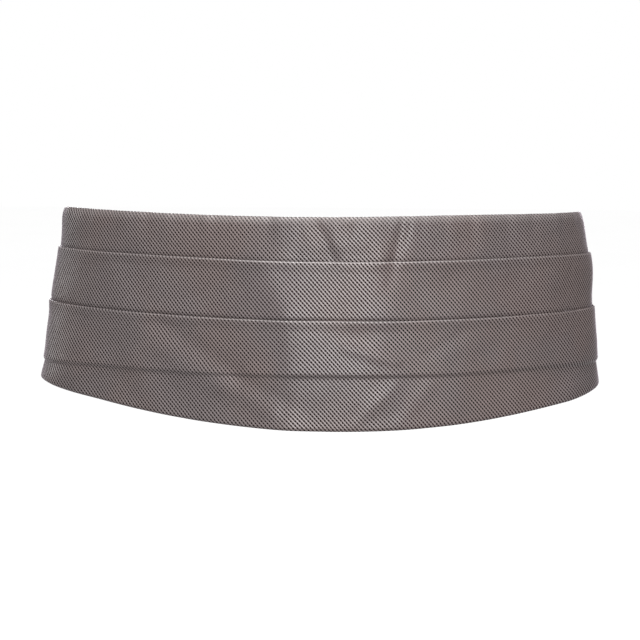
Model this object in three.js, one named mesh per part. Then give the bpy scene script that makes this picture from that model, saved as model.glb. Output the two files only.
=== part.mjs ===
// A pleated cummerbund in the form that it takes round a waist.
//
// Millimetres, +Z up. The front faces -Y and +X is to the right of someone who looks at it. The origin
// is the middle of the waist: level with the mid height of the front, and over the line between the two
// widest places. Every cloth piece is a thin wall that follows one plan curve, the loop. A place on a
// wall is given by three lengths: along, the way round the loop from the front's middle, out, the
// distance outward from the loop, and height, the level above the origin.

import * as THREE from 'three';

// Sizes of the loop, measured inside the front panel at its top edge
const WAIST_HALF_WIDTH = 148.4;
const FRONT_DEPTH = 85;
const BACK_DEPTH = 104;
const FLAT_LEFT = 11.5; // the flat middle of the front, to the left and to the right of its centre
const FLAT_RIGHT = 26.5;
const BEND_LENGTH = 13.4; // how softly the flat turns into the flanks
const FLANK_BLUNTNESS = 1.34; // exponents of the flanks' curve, across and in depth
const FLANK_FULLNESS = 1.7;

// Outward lean of the walls toward the hem, in millimetres for each millimetre of height
const LEAN_FRONT = 0.05;
const LEAN_LEFT = 0.112;
const LEAN_RIGHT = 0.078;

// Heights of the four visible levels at the front's middle
const TOP_BAND = 24.8;
const MIDDLE_BAND = 32.6;
const LOWER_BAND = 31.0;
const HEM_BAND = 31.0;

// Cloth
const PANEL_REACH = 270; // from the front's middle to each end of the pleated panel
const PANEL_WALL = 1.6;
const PLEAT_WALL = 1.0;
const LAYER_GAP = 0.3;
const TOP_ROLL = 1.3; // radius of the rolled top edge
const ROLL_BLEND = 5;
const TUCK_BLEND = 8; // height over which the lower pleat sinks below the tucked edge
const HEM_TURN = 10; // how far the hem is turned up inside
const CREASE_DEPTH = 1;

// Straps and clasp
const STRAP_WIDTH = 38;
const STRAP_WALL = 2.0;
const STRAP_UNDERLAP = 15; // how far a strap runs inside the panel's end
const STRAP_TURNBACK = 16; // how far its looped end lies back on itself
const CLASP_WALL = 3;
const CLASP_END_BAR = 4;
const CLASP_MIDDLE_BAR = 10;
const CLASP_RAIL = 4;
const CLASP_ROUND = 3;
const SLOT_ROUND = 0.8;
const SLOT_CLEARANCE = 1.0;

// Worked out
const FRONT_HEIGHT = TOP_BAND + MIDDLE_BAND + LOWER_BAND + HEM_BAND;
const TOP_LEVEL = FRONT_HEIGHT / 2;
const MIDDLE_PLEAT_OUT = PANEL_WALL + LAYER_GAP;
const LOWER_PLEAT_OUT = MIDDLE_PLEAT_OUT + PLEAT_WALL + LAYER_GAP;
const STRAP_OUT = -LAYER_GAP - STRAP_WALL;
const SLOT_WIDTH = CLASP_WALL / 2 + LAYER_GAP + STRAP_WALL + SLOT_CLEARANCE;
const CLASP_LENGTH = CLASP_MIDDLE_BAR + 2 * (SLOT_WIDTH + CLASP_END_BAR);

// How finely the walls are cut
const LOOP_STEPS = 1440;
const STATIONS = 60;
const ROWS_PER_BAND = 3;
const ARC_STEPS = 4;
const STRAP_STEPS = 16;

// The front's levels at each place along the panel. along is a share of PANEL_REACH, level is the top
// edge as a share of TOP_LEVEL, and the bands are shares of their own heights at the middle.
const LEVELS = [
  { along: -1.0, level: 0.68, top: 0.7, middle: 0.62, lower: 0.6, hem: 0.3 },
  { along: -0.84, level: 0.91, top: 0.84, middle: 0.82, lower: 0.92, hem: 0.32 },
  { along: -0.68, level: 1.0, top: 0.92, middle: 0.94, lower: 1.1, hem: 0.37 },
  { along: -0.5, level: 1.01, top: 0.95, middle: 0.98, lower: 1.05, hem: 0.61 },
  { along: -0.25, level: 1.0, top: 0.96, middle: 1.01, lower: 1.02, hem: 0.87 },
  { along: 0.0, level: 1.0, top: 1.0, middle: 1.0, lower: 1.0, hem: 1.0 },
  { along: 0.25, level: 1.01, top: 1.01, middle: 1.01, lower: 1.0, hem: 0.93 },
  { along: 0.5, level: 1.0, top: 0.96, middle: 0.99, lower: 0.99, hem: 0.73 },
  { along: 0.68, level: 0.98, top: 0.94, middle: 0.94, lower: 1.01, hem: 0.48 },
  { along: 0.84, level: 0.9, top: 0.84, middle: 0.8, lower: 0.86, hem: 0.36 },
  { along: 1.0, level: 0.68, top: 0.7, middle: 0.62, lower: 0.6, hem: 0.3 },
];

// Soft creases that run through all layers, from one place to another. along is a share of PANEL_REACH,
// height of FRONT_HEIGHT, depth of CREASE_DEPTH (minus is a ridge) and width of TOP_BAND.
const CREASES = [
  { along: -0.82, height: -0.31, toAlong: -0.56, toHeight: -0.31, depth: -1.5, width: 0.4 },
  { along: -0.82, height: 0.02, toAlong: -0.56, toHeight: 0.0, depth: 1.1, width: 0.48 },
  { along: 0.56, height: 0.23, toAlong: 0.82, toHeight: 0.22, depth: -1.4, width: 0.69 },
  { along: 0.56, height: -0.35, toAlong: 0.82, toHeight: -0.33, depth: -1.6, width: 0.4 },
  { along: -0.34, height: -0.01, toAlong: -0.17, toHeight: -0.23, depth: 0.8, width: 0.22 },
  { along: -0.37, height: -0.08, toAlong: -0.2, toHeight: -0.3, depth: -0.8, width: 0.28 },
];

// Clamped smooth step from 0 to 1
function ease(value) {
  const t = THREE.MathUtils.clamp(value, 0, 1);
  return t * t * (3 - 2 * t);
}

// How far a place across the front is past its bend, as a share of the flank: 0 at the front's middle,
// 1 at the side, with a soft start at the bend
function flankShare(across) {
  const edge = (across < 0 ? FLAT_LEFT : FLAT_RIGHT) / WAIST_HALF_WIDTH;
  const soft = BEND_LENGTH / WAIST_HALF_WIDTH;
  const rise = (place) => {
    const past = (place - edge) / (1 - edge);
    return past + Math.hypot(past, soft);
  };
  return THREE.MathUtils.clamp((rise(Math.abs(across)) - rise(0)) / (rise(1) - rise(0)), 0, 1);
}

// A point of the plan curve. turn is 0 at the front's middle, and a quarter turn at the right side.
function planPoint(turn) {
  const across = Math.sin(turn);
  if (Math.cos(turn) <= 0) {
    return new THREE.Vector2(WAIST_HALF_WIDTH * across, -BACK_DEPTH * Math.cos(turn));
  }
  const fall = Math.max(0, 1 - flankShare(across) ** FLANK_BLUNTNESS);
  return new THREE.Vector2(WAIST_HALF_WIDTH * across, -FRONT_DEPTH * fall ** (1 / FLANK_FULLNESS));
}

// The plan curve cut into short steps, with the length from the front's middle at each
function measureLoop() {
  const points = [];
  const lengths = [0];
  for (let step = 0; step <= LOOP_STEPS; step++) {
    points.push(planPoint((2 * Math.PI * step) / LOOP_STEPS));
    if (step > 0) lengths.push(lengths[step - 1] + points[step].distanceTo(points[step - 1]));
  }
  return { points, lengths, total: lengths[LOOP_STEPS], back: lengths[LOOP_STEPS / 2] };
}

const loop = measureLoop();

// The point of the loop at a length along it, with its outward direction and its heading,
// which is 0 where the wall faces the front and half a turn where it faces the back
function loopAt(along) {
  const length = THREE.MathUtils.euclideanModulo(along, loop.total);
  let step = 1;
  let high = LOOP_STEPS;
  while (step < high) {
    const middle = Math.floor((step + high) / 2);
    if (loop.lengths[middle] < length) step = middle + 1;
    else high = middle;
  }
  const share = (length - loop.lengths[step - 1]) / (loop.lengths[step] - loop.lengths[step - 1]);
  const point = loop.points[step - 1].clone().lerp(loop.points[step], share);
  const before = loop.points[(step - 2 + LOOP_STEPS) % LOOP_STEPS];
  const after = loop.points[(step + 1) % LOOP_STEPS];
  const start = loop.points[step].clone().sub(before).normalize();
  const end = after.clone().sub(loop.points[step - 1]).normalize();
  const tangent = start.lerp(end, share).normalize();
  const outward = new THREE.Vector2(tangent.y, -tangent.x);
  return { point, outward, heading: Math.atan2(outward.x, -outward.y) };
}

// Outward lean at a heading: the front's own, the side's, and none at the back
function leanAt(heading) {
  const quarters = Math.abs(heading) / (Math.PI / 2);
  const side = heading < 0 ? LEAN_LEFT : LEAN_RIGHT;
  return quarters < 1 ? LEAN_FRONT + (side - LEAN_FRONT) * quarters : side * (1 - ease(quarters - 1));
}

// Depth of the soft creases at a place on the front
function creaseAt(along, height) {
  let depth = 0;
  for (const crease of CREASES) {
    const start = new THREE.Vector2(crease.along * PANEL_REACH, crease.height * FRONT_HEIGHT);
    const run = new THREE.Vector2(crease.toAlong * PANEL_REACH, crease.toHeight * FRONT_HEIGHT).sub(start);
    const place = new THREE.Vector2(along, height).sub(start);
    const share = THREE.MathUtils.clamp(place.dot(run) / run.lengthSq(), 0, 1);
    const away = place.distanceTo(run.multiplyScalar(share)) / (crease.width * TOP_BAND);
    depth += crease.depth * CREASE_DEPTH * Math.exp(-away * away);
  }
  return depth;
}

// The world point of a place on the walls
function wallPoint(along, out, height) {
  const { point, outward, heading } = loopAt(along);
  const push = out + leanAt(heading) * (TOP_LEVEL - height) - creaseAt(along, height);
  return new THREE.Vector3(point.x + outward.x * push, point.y + outward.y * push, height);
}

// A smooth value between the rows of LEVELS
function levelValue(share, column) {
  let row = 1;
  while (row < LEVELS.length - 2 && LEVELS[row + 1].along < share) row++;
  const base = LEVELS[row].along < share ? row : row - 1;
  const [from, to] = [LEVELS[base], LEVELS[base + 1]];
  const slope = (index) => {
    const [before, after] = [LEVELS[Math.max(index - 1, 0)], LEVELS[Math.min(index + 1, LEVELS.length - 1)]];
    return (after[column] - before[column]) / (after.along - before.along);
  };
  const width = to.along - from.along;
  const t = (share - from.along) / width;
  const rise = from[column] * (2 * t ** 3 - 3 * t ** 2 + 1) + to[column] * (3 * t ** 2 - 2 * t ** 3);
  return rise + width * (slope(base) * (t ** 3 - 2 * t ** 2 + t) + slope(base + 1) * (t ** 3 - t ** 2));
}

// The heights of the folds and edges at a place along the panel
function levelsAt(along) {
  const share = along / PANEL_REACH;
  const top = TOP_LEVEL * levelValue(share, 'level');
  const upperFold = top - TOP_BAND * levelValue(share, 'top');
  const lowerFold = upperFold - MIDDLE_BAND * levelValue(share, 'middle');
  const tuck = lowerFold - LOWER_BAND * levelValue(share, 'lower');
  const hem = tuck - HEM_BAND * levelValue(share, 'hem');
  return { top, upperFold, lowerFold, tuck, hem };
}

// Heights between two levels, the same for every layer there so that the layers stay clear
function rowsBetween(upper, lower) {
  const rows = [];
  for (let row = 1; row < ROWS_PER_BAND; row++) {
    rows.push(THREE.MathUtils.lerp(upper, lower, row / ROWS_PER_BAND));
  }
  return rows;
}

// Half a circle in (out, height), from one side of a wall round its edge to the other
function roundEdge(middleOut, height, radius, upward, fromInside) {
  const points = [];
  for (let step = 0; step <= ARC_STEPS; step++) {
    const angle = Math.PI * (fromInside ? 1 - step / ARC_STEPS : step / ARC_STEPS);
    const lift = radius * Math.sin(angle) * (upward ? 1 : -1);
    points.push([middleOut + radius * Math.cos(angle), height + lift]);
  }
  return points;
}

// Section of the base cloth: rolled top edge, outer face down, plain lower edge inside the turned hem
function panelSection(levels) {
  const bottom = levels.hem + PLEAT_WALL + LAYER_GAP + PANEL_WALL / 2;
  const rows = [
    levels.top - TOP_ROLL - ROLL_BLEND,
    ...rowsBetween(levels.top, levels.upperFold).slice(1),
    levels.upperFold,
    ...rowsBetween(levels.upperFold, levels.lowerFold),
    levels.lowerFold,
    ...rowsBetween(levels.lowerFold, levels.tuck),
    levels.tuck,
    ...rowsBetween(levels.tuck, bottom),
  ];
  return [
    ...roundEdge(PANEL_WALL - TOP_ROLL, levels.top - TOP_ROLL, TOP_ROLL, true, true),
    ...rows.map((height) => [PANEL_WALL, height]),
    ...roundEdge(PANEL_WALL / 2, bottom, PANEL_WALL / 2, false, false),
    ...rows.reverse().map((height) => [0, height]),
  ];
}

// Section of the middle pleat: a folded upper edge, and a lower edge under the next pleat
function middlePleatSection(levels) {
  const radius = PLEAT_WALL / 2;
  const rows = [
    ...rowsBetween(levels.upperFold, levels.lowerFold),
    levels.lowerFold,
    ...rowsBetween(levels.lowerFold, levels.tuck),
  ];
  const [inner, outer] = [MIDDLE_PLEAT_OUT, MIDDLE_PLEAT_OUT + PLEAT_WALL];
  return [
    ...roundEdge(inner + radius, levels.upperFold - radius, radius, true, true),
    ...rows.map((height) => [outer, height]),
    ...roundEdge(inner + radius, levels.tuck + radius, radius, false, false),
    ...rows.reverse().map((height) => [inner, height]),
  ];
}

// Section of the lower pleat: a folded upper edge, the step in below the tucked edge, the hem and the
// strip that is turned up inside the panel
function lowerPleatSection(levels) {
  const radius = PLEAT_WALL / 2;
  const underOut = MIDDLE_PLEAT_OUT;
  const turnOut = -LAYER_GAP - PLEAT_WALL;
  const hemRadius = (underOut + PLEAT_WALL - turnOut) / 2;
  const hemMiddle = turnOut + hemRadius;
  const hemTop = levels.hem + hemRadius;
  const turnTop = hemTop + HEM_TURN;
  const sink = Math.min(TUCK_BLEND, (levels.tuck - hemTop) / 2);
  const faces = [
    ...rowsBetween(levels.lowerFold, levels.tuck).map((height) => ({ height, out: LOWER_PLEAT_OUT })),
    { height: levels.tuck, out: LOWER_PLEAT_OUT },
    { height: levels.tuck - sink / 2, out: (LOWER_PLEAT_OUT + underOut) / 2 },
    { height: levels.tuck - sink, out: underOut },
    { height: (levels.tuck - sink + hemTop) / 2, out: underOut },
  ];
  return [
    ...roundEdge(LOWER_PLEAT_OUT + radius, levels.lowerFold - radius, radius, true, true),
    ...faces.map(({ height, out }) => [out + PLEAT_WALL, height]),
    ...roundEdge(hemMiddle, hemTop, hemRadius, false, false),
    [turnOut, (hemTop + turnTop) / 2],
    ...roundEdge(turnOut + radius, turnTop, radius, true, true),
    [turnOut + PLEAT_WALL, (hemTop + turnTop) / 2],
    ...roundEdge(hemMiddle, hemTop, hemRadius - PLEAT_WALL, false, true),
    ...faces.reverse().map(({ height, out }) => [out, height]),
  ];
}

// Triangles across an outline that is a bent band, from its tip down both of its sides
function bandFaces(count, tip) {
  const faces = [];
  let [left, right] = [tip, (tip - 1 + count) % count];
  for (let used = 2; used < count; used++) {
    const onLeft = used % 2 === 0;
    const next = onLeft ? (left + 1) % count : (right - 1 + count) % count;
    faces.push([left, next, right]);
    if (onLeft) left = next;
    else right = next;
  }
  return faces;
}

// A closed solid through rings of equally many points. Each ring is the outline of a bent band whose
// tip is at the point numbered tip. Faces are split the same way on both sides of a wall, so that
// layers which follow each other stay clear.
function solidFromRings(rings, tip) {
  const count = rings[0].length;
  const positions = rings.flat().flatMap((point) => point.toArray());
  const indices = [];
  for (let ring = 0; ring < rings.length - 1; ring++) {
    for (let place = 0; place < count; place++) {
      const [a, b] = [ring * count + place, ring * count + ((place + 1) % count)];
      const rises = rings[ring][(place + 1) % count].z > rings[ring][place].z;
      if (rises) indices.push(a, b, b + count, a, b + count, a + count);
      else indices.push(a, b, a + count, b, b + count, a + count);
    }
  }
  const last = (rings.length - 1) * count;
  for (const [a, b, c] of bandFaces(count, tip)) {
    indices.push(c, b, a, last + a, last + b, last + c);
  }
  const geometry = new THREE.BufferGeometry();
  geometry.setAttribute('position', new THREE.Float32BufferAttribute(positions, 3));
  geometry.setIndex(indices);
  return outwardFacing(geometry);
}

// The geometry with its faces turned outward
function outwardFacing(geometry) {
  const position = geometry.getAttribute('position');
  const corner = (index) => new THREE.Vector3().fromBufferAttribute(position, geometry.index.getX(index));
  let volume = 0;
  for (let face = 0; face < geometry.index.count; face += 3) {
    volume += corner(face).dot(corner(face + 1).cross(corner(face + 2)));
  }
  if (volume < 0) geometry.setIndex(Array.from(geometry.index.array).reverse());
  geometry.computeVertexNormals();
  return geometry;
}

// A cloth piece of the front, from one end of the panel to the other
function frontPiece(sectionOf) {
  const rings = [];
  for (let station = 0; station <= STATIONS; station++) {
    const along = PANEL_REACH * ((2 * station) / STATIONS - 1);
    rings.push(sectionOf(levelsAt(along)).map(([out, height]) => wallPoint(along, out, height)));
  }
  return solidFromRings(rings, ARC_STEPS / 2);
}

// Outline of a band of even thickness along a path of (along, out) points
function ribbonOutline(path, thickness) {
  const sides = [[], []];
  path.forEach((point, index) => {
    const before = path[Math.max(index - 1, 0)];
    const after = path[Math.min(index + 1, path.length - 1)];
    const run = after.clone().sub(before).normalize();
    const across = new THREE.Vector2(-run.y, run.x).multiplyScalar(thickness / 2);
    sides[0].push(point.clone().add(across));
    sides[1].unshift(point.clone().sub(across));
  });
  return [...sides[0], ...sides[1]];
}

// A strap's path, as (distance from the back's middle, out): from inside the panel's end, round the
// clasp's end bar, and back on itself. halfLoop is the loop's length from the front's middle to the back's.
function strapPath(halfLoop) {
  const start = halfLoop - PANEL_REACH + STRAP_UNDERLAP;
  const barEdge = CLASP_LENGTH / 2 - CLASP_END_BAR;
  const inner = STRAP_OUT + STRAP_WALL / 2;
  const outer = CLASP_WALL + LAYER_GAP + STRAP_WALL / 2;
  const bendOut = (inner + outer) / 2;
  const bendRadius = (outer - inner) / 2;
  const path = [];
  for (let step = 0; step < STRAP_STEPS; step++) {
    path.push(new THREE.Vector2(THREE.MathUtils.lerp(start, barEdge, step / STRAP_STEPS), inner));
  }
  for (let step = 0; step <= 2 * ARC_STEPS; step++) {
    const angle = Math.PI * (step / (2 * ARC_STEPS) - 0.5);
    path.push(new THREE.Vector2(barEdge - bendRadius * Math.cos(angle), bendOut + bendRadius * Math.sin(angle)));
  }
  const backOut = STRAP_WALL / 2;
  const leave = CLASP_LENGTH / 2;
  const slope = 2 * (outer - backOut);
  for (let step = 0; step <= ARC_STEPS; step++) {
    const out = THREE.MathUtils.lerp(outer, backOut, ease(step / ARC_STEPS));
    path.push(new THREE.Vector2(leave + (slope * step) / ARC_STEPS, out));
  }
  path.push(new THREE.Vector2(leave + slope + STRAP_TURNBACK / 2, backOut));
  path.push(new THREE.Vector2(leave + slope + STRAP_TURNBACK, backOut));
  return path;
}

// The straps' middle height: halfway between the panel's end and the hem that is turned up inside it
function strapHeight() {
  const end = levelsAt(PANEL_REACH);
  return (end.top + end.hem + HEM_TURN) / 2;
}

// A strap on the right side (1) or on the left side (-1)
function strap(side) {
  const halfLoop = side > 0 ? loop.back : loop.total - loop.back;
  const outline = ribbonOutline(strapPath(halfLoop), STRAP_WALL);
  const middle = strapHeight();
  const rings = [-STRAP_WIDTH / 2, STRAP_WIDTH / 2].map((rise) =>
    outline.map((point) => wallPoint(loop.back - side * point.x, point.y, middle + rise)),
  );
  return solidFromRings(rings, 0);
}

// A rectangle with round corners, as the outline or a hole of a plate
function roundRectangle(outline, middle, width, height, radius) {
  const [right, top] = [width / 2 - radius, height / 2 - radius];
  const corners = [[right, top, 0], [-right, top, 1], [-right, -top, 2], [right, -top, 3]];
  for (const [x, y, quarter] of corners) {
    const start = (quarter * Math.PI) / 2;
    outline.absarc(middle + x, y, radius, start, start + Math.PI / 2, false);
  }
  outline.closePath();
  return outline;
}

// The clasp: a flat plate with a slot for each strap, which stands where the straps' bends are
function clasp() {
  const slotHeight = STRAP_WIDTH + 2 * SLOT_CLEARANCE;
  const slotMiddle = (CLASP_MIDDLE_BAR + SLOT_WIDTH) / 2;
  const plateHeight = slotHeight + 2 * CLASP_RAIL;
  const plate = roundRectangle(new THREE.Shape(), 0, CLASP_LENGTH, plateHeight, CLASP_ROUND);
  for (const side of [-1, 1]) {
    plate.holes.push(roundRectangle(new THREE.Path(), side * slotMiddle, SLOT_WIDTH, slotHeight, SLOT_ROUND));
  }
  const geometry = new THREE.ExtrudeGeometry(plate, {
    depth: CLASP_WALL,
    bevelEnabled: false,
    curveSegments: ARC_STEPS,
  });
  geometry.rotateX(Math.PI / 2);
  const barMiddle = (CLASP_LENGTH - CLASP_END_BAR) / 2;
  geometry.translate(0, loopAt(loop.back - barMiddle).point.y + CLASP_WALL, strapHeight());
  return geometry;
}

// Materials
const silk = () => new THREE.MeshStandardMaterial({ color: 0x7a7271, roughness: 0.55, metalness: 0 });
const strapCloth = () => new THREE.MeshStandardMaterial({ color: 0x645c5c, roughness: 0.7, metalness: 0 });
const darkMetal = () => new THREE.MeshStandardMaterial({ color: 0x6f7074, roughness: 0.35, metalness: 1 });

function named(name, geometry, material) {
  const mesh = new THREE.Mesh(geometry, material);
  mesh.name = name;
  return mesh;
}

const cummerbund = new THREE.Group();
cummerbund.add(
  named('front_panel', frontPiece(panelSection), silk()),
  named('middle_pleat', frontPiece(middlePleatSection), silk()),
  named('lower_pleat', frontPiece(lowerPleatSection), silk()),
  named('right_strap', strap(1), strapCloth()),
  named('left_strap', strap(-1), strapCloth()),
  named('clasp', clasp(), darkMetal()),
);

export default cummerbund;
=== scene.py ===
"""A pleated silk cummerbund in its worn form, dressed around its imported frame.

Everything is in metres, +Z up. The front faces -Y, and +X is to the right of someone who looks at it.
A place on a cloth wall is given by three lengths: along, the way round the waist from the front's
middle, out, the distance outward from the waist loop, and height, the level above the origin.
"""

import logging
import math
from dataclasses import dataclass
from enum import Enum
from functools import cached_property
from typing import NamedTuple

import bmesh
import bpy
import numpy as np
from mathutils import Matrix, Vector


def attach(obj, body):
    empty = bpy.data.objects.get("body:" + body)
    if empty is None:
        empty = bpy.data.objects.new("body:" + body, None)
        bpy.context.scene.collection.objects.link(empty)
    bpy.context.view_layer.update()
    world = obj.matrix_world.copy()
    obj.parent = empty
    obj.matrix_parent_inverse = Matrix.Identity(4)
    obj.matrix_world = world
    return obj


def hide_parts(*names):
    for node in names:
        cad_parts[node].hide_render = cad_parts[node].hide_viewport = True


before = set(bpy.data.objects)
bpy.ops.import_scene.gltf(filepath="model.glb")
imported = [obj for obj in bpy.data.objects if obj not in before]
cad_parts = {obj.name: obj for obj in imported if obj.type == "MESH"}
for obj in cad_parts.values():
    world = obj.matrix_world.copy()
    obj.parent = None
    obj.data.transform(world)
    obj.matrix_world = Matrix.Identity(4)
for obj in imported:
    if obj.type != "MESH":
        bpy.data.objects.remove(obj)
log = logging.getLogger("cummerbund")

MM = 0.001
Colour = tuple[float, float, float]
Place = tuple[float, float, float]
Span = tuple[float, float]
Socket = bpy.types.NodeSocket


class Slot(Enum):
    """The record's material slots."""

    SILK = "silk"
    STRAP = "strap_cloth"
    METAL = "clasp_metal"


class Held(Enum):
    """How a sheet of cloth is held."""

    FOLDED = "folded"
    STRETCHED = "stretched"


class Side(Enum):
    """A side of the waist."""

    LEFT = -1
    RIGHT = 1


def ease(share: np.ndarray) -> np.ndarray:
    """A smooth step from 0 to 1."""
    held = np.clip(share, 0.0, 1.0)
    return held * held * (3.0 - 2.0 * held)


def between(start: np.ndarray, end: np.ndarray, shares: np.ndarray) -> np.ndarray:
    """Rows that go from one row of values, at share 0, to another, at share 1."""
    return start[None, :] + (end - start)[None, :] * shares[:, None]


def linked(name: str, data: bpy.types.ID) -> bpy.types.Object:
    """A new object in the scene with this data.

    Args:
        name: Its name.
        data: Its mesh, curve, light or camera.

    Returns:
        The object.
    """
    item = bpy.data.objects.new(name, data)
    bpy.context.scene.collection.objects.link(item)
    return item


def baked(item: bpy.types.Object) -> bpy.types.Mesh:
    """Take an object's finished mesh, with nothing live on it, and remove the object.

    Args:
        item: The object, with its modifiers or as a curve.

    Returns:
        The plain mesh.
    """
    graph = bpy.context.evaluated_depsgraph_get()
    mesh = bpy.data.meshes.new_from_object(item.evaluated_get(graph), depsgraph=graph)
    bpy.data.objects.remove(item)
    return mesh


def soften(mesh: bpy.types.Mesh, degrees: float) -> None:
    """Shade a mesh smooth, but for edges that turn by more than an angle."""
    mesh.shade_smooth()
    mesh.set_sharp_from_angle(angle=math.radians(degrees))


def mark(mesh: bpy.types.Mesh, name: str, values: np.ndarray) -> None:
    """Give a mesh's points an attribute: one number each, or three in a row."""
    kind, field = ("FLOAT", "value") if values.ndim == 1 else ("FLOAT_VECTOR", "vector")
    mesh.attributes.new(name, kind, "POINT").data.foreach_set(field, values.ravel())


# The form that the cloth follows


@dataclass(frozen=True)
class WaistLoop:
    """The plan curve round the waist, measured inside the front panel at its top edge."""

    half_width: float = 148.4 * MM
    front_depth: float = 85 * MM
    back_depth: float = 104 * MM
    flat_left: float = 11.5 * MM
    flat_right: float = 26.5 * MM
    bend_length: float = 13.4 * MM
    flank_bluntness: float = 1.34
    flank_fullness: float = 1.7
    lean_front: float = 0.05
    lean_left: float = 0.112
    lean_right: float = 0.078
    steps: int = 1440

    @cached_property
    def points(self) -> np.ndarray:
        """Plan points all round the loop, from the front's middle toward +X."""
        turn = np.linspace(0.0, 2.0 * np.pi, self.steps + 1)
        across = np.sin(turn)
        edge = np.where(across < 0, self.flat_left, self.flat_right) / self.half_width
        soft = self.bend_length / self.half_width
        past = (np.abs(across) - edge) / (1.0 - edge)
        start = -edge / (1.0 - edge)
        rise = past + np.hypot(past, soft) - start - np.hypot(start, soft)
        full = 1.0 + math.hypot(1.0, soft) - start - np.hypot(start, soft)
        share = np.clip(rise / full, 0.0, 1.0)
        fall = np.maximum(0.0, 1.0 - share**self.flank_bluntness) ** (1.0 / self.flank_fullness)
        behind = np.cos(turn) <= 0
        deep = np.where(behind, -self.back_depth * np.cos(turn), -self.front_depth * fall)
        return np.stack([self.half_width * across, deep], axis=1)

    @cached_property
    def lengths(self) -> np.ndarray:
        """Length from the front's middle to each plan point."""
        steps = np.linalg.norm(np.diff(self.points, axis=0), axis=1)
        return np.concatenate([[0.0], np.cumsum(steps)])

    @cached_property
    def tangents(self) -> np.ndarray:
        """Unit direction of the loop at each plan point."""
        ring = self.points[:-1]
        run = np.roll(ring, -1, axis=0) - np.roll(ring, 1, axis=0)
        run /= np.linalg.norm(run, axis=1, keepdims=True)
        return np.concatenate([run, run[:1]])

    @property
    def total(self) -> float:
        """Length of the whole loop."""
        return float(self.lengths[-1])

    @property
    def back(self) -> float:
        """Length from the front's middle to the back's, toward +X."""
        return float(self.lengths[self.steps // 2])

    def locate(self, along: np.ndarray) -> tuple[np.ndarray, np.ndarray]:
        """Find places on the loop.

        Args:
            along: Lengths from the front's middle.

        Returns:
            The plan points and the outward directions there.
        """
        length = np.mod(along, self.total)
        point, run = (
            np.stack([np.interp(length, self.lengths, table[:, i]) for i in (0, 1)], axis=-1)
            for table in (self.points, self.tangents)
        )
        run /= np.linalg.norm(run, axis=-1, keepdims=True)
        return point, np.stack([run[..., 1], -run[..., 0]], axis=-1)

    def lean(self, outward: np.ndarray) -> np.ndarray:
        """Outward lean of a wall toward its hem, for each metre of height.

        Args:
            outward: The directions that the wall faces.

        Returns:
            The front's own lean, the side's, and none at the back.
        """
        heading = np.arctan2(outward[..., 0], -outward[..., 1])
        quarters = np.abs(heading) / (np.pi / 2)
        side = np.where(heading < 0, self.lean_left, self.lean_right)
        ahead = self.lean_front + (side - self.lean_front) * quarters
        return np.where(quarters < 1, ahead, side * (1.0 - ease(quarters - 1.0)))


class Levels(NamedTuple):
    """Heights of the top edge, the two folds, the tucked edge and the hem, one for each column."""

    top: np.ndarray
    upper_fold: np.ndarray
    lower_fold: np.ndarray
    tuck: np.ndarray
    hem: np.ndarray


@dataclass(frozen=True)
class FrontPattern:
    """Heights of the bands along the pleated panel."""

    reach: float = 270 * MM
    top_band: float = 24.8 * MM
    middle_band: float = 32.6 * MM
    lower_band: float = 31.0 * MM
    hem_band: float = 31.0 * MM
    # rows of (share of the reach, then shares of the top level and of the four bands)
    table: tuple[tuple[float, ...], ...] = (
        (-1.0, 0.68, 0.7, 0.62, 0.6, 0.3),
        (-0.84, 0.91, 0.84, 0.82, 0.92, 0.32),
        (-0.68, 1.0, 0.92, 0.94, 1.1, 0.37),
        (-0.5, 1.01, 0.95, 0.98, 1.05, 0.61),
        (-0.25, 1.0, 0.96, 1.01, 1.02, 0.87),
        (0.0, 1.0, 1.0, 1.0, 1.0, 1.0),
        (0.25, 1.01, 1.01, 1.01, 1.0, 0.93),
        (0.5, 1.0, 0.96, 0.99, 0.99, 0.73),
        (0.68, 0.98, 0.94, 0.94, 1.01, 0.48),
        (0.84, 0.9, 0.84, 0.8, 0.86, 0.36),
        (1.0, 0.68, 0.7, 0.62, 0.6, 0.3),
    )

    @property
    def bands(self) -> tuple[float, float, float, float]:
        """Heights of the bands at the front's middle, from the top down."""
        return self.top_band, self.middle_band, self.lower_band, self.hem_band

    @property
    def top_level(self) -> float:
        """Level of the top edge at the front's middle."""
        return sum(self.bands) / 2

    def shares(self, along: np.ndarray) -> np.ndarray:
        """Smooth values between the table's rows.

        Args:
            along: Lengths from the front's middle.

        Returns:
            For each of the table's columns of shares, one share for each length.
        """
        table = np.array(self.table)
        where, values = table[:, 0], table[:, 1:]
        last = len(where) - 1
        index = np.arange(last + 1)
        ahead, behind = np.minimum(index + 1, last), np.maximum(index - 1, 0)
        slopes = (values[ahead] - values[behind]) / (where[ahead] - where[behind])[:, None]
        place = along / self.reach
        base = np.clip(np.searchsorted(where, place) - 1, 0, last - 1)
        width = (where[base + 1] - where[base])[..., None]
        t = (place - where[base])[..., None] / width
        rise = values[base] * (2 * t**3 - 3 * t**2 + 1) + values[base + 1] * (3 * t**2 - 2 * t**3)
        bend = slopes[base] * (t**3 - 2 * t**2 + t) + slopes[base + 1] * (t**3 - t**2)
        return np.moveaxis(rise + width * bend, -1, 0)

    def levels(self, along: np.ndarray) -> Levels:
        """Heights of the folds and edges.

        Args:
            along: Lengths from the front's middle.

        Returns:
            The heights at each length.
        """
        top, *drops = self.shares(along)
        heights = [self.top_level * top]
        for band, share in zip(self.bands, drops):
            heights.append(heights[-1] - band * share)
        return Levels(*heights)


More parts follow.
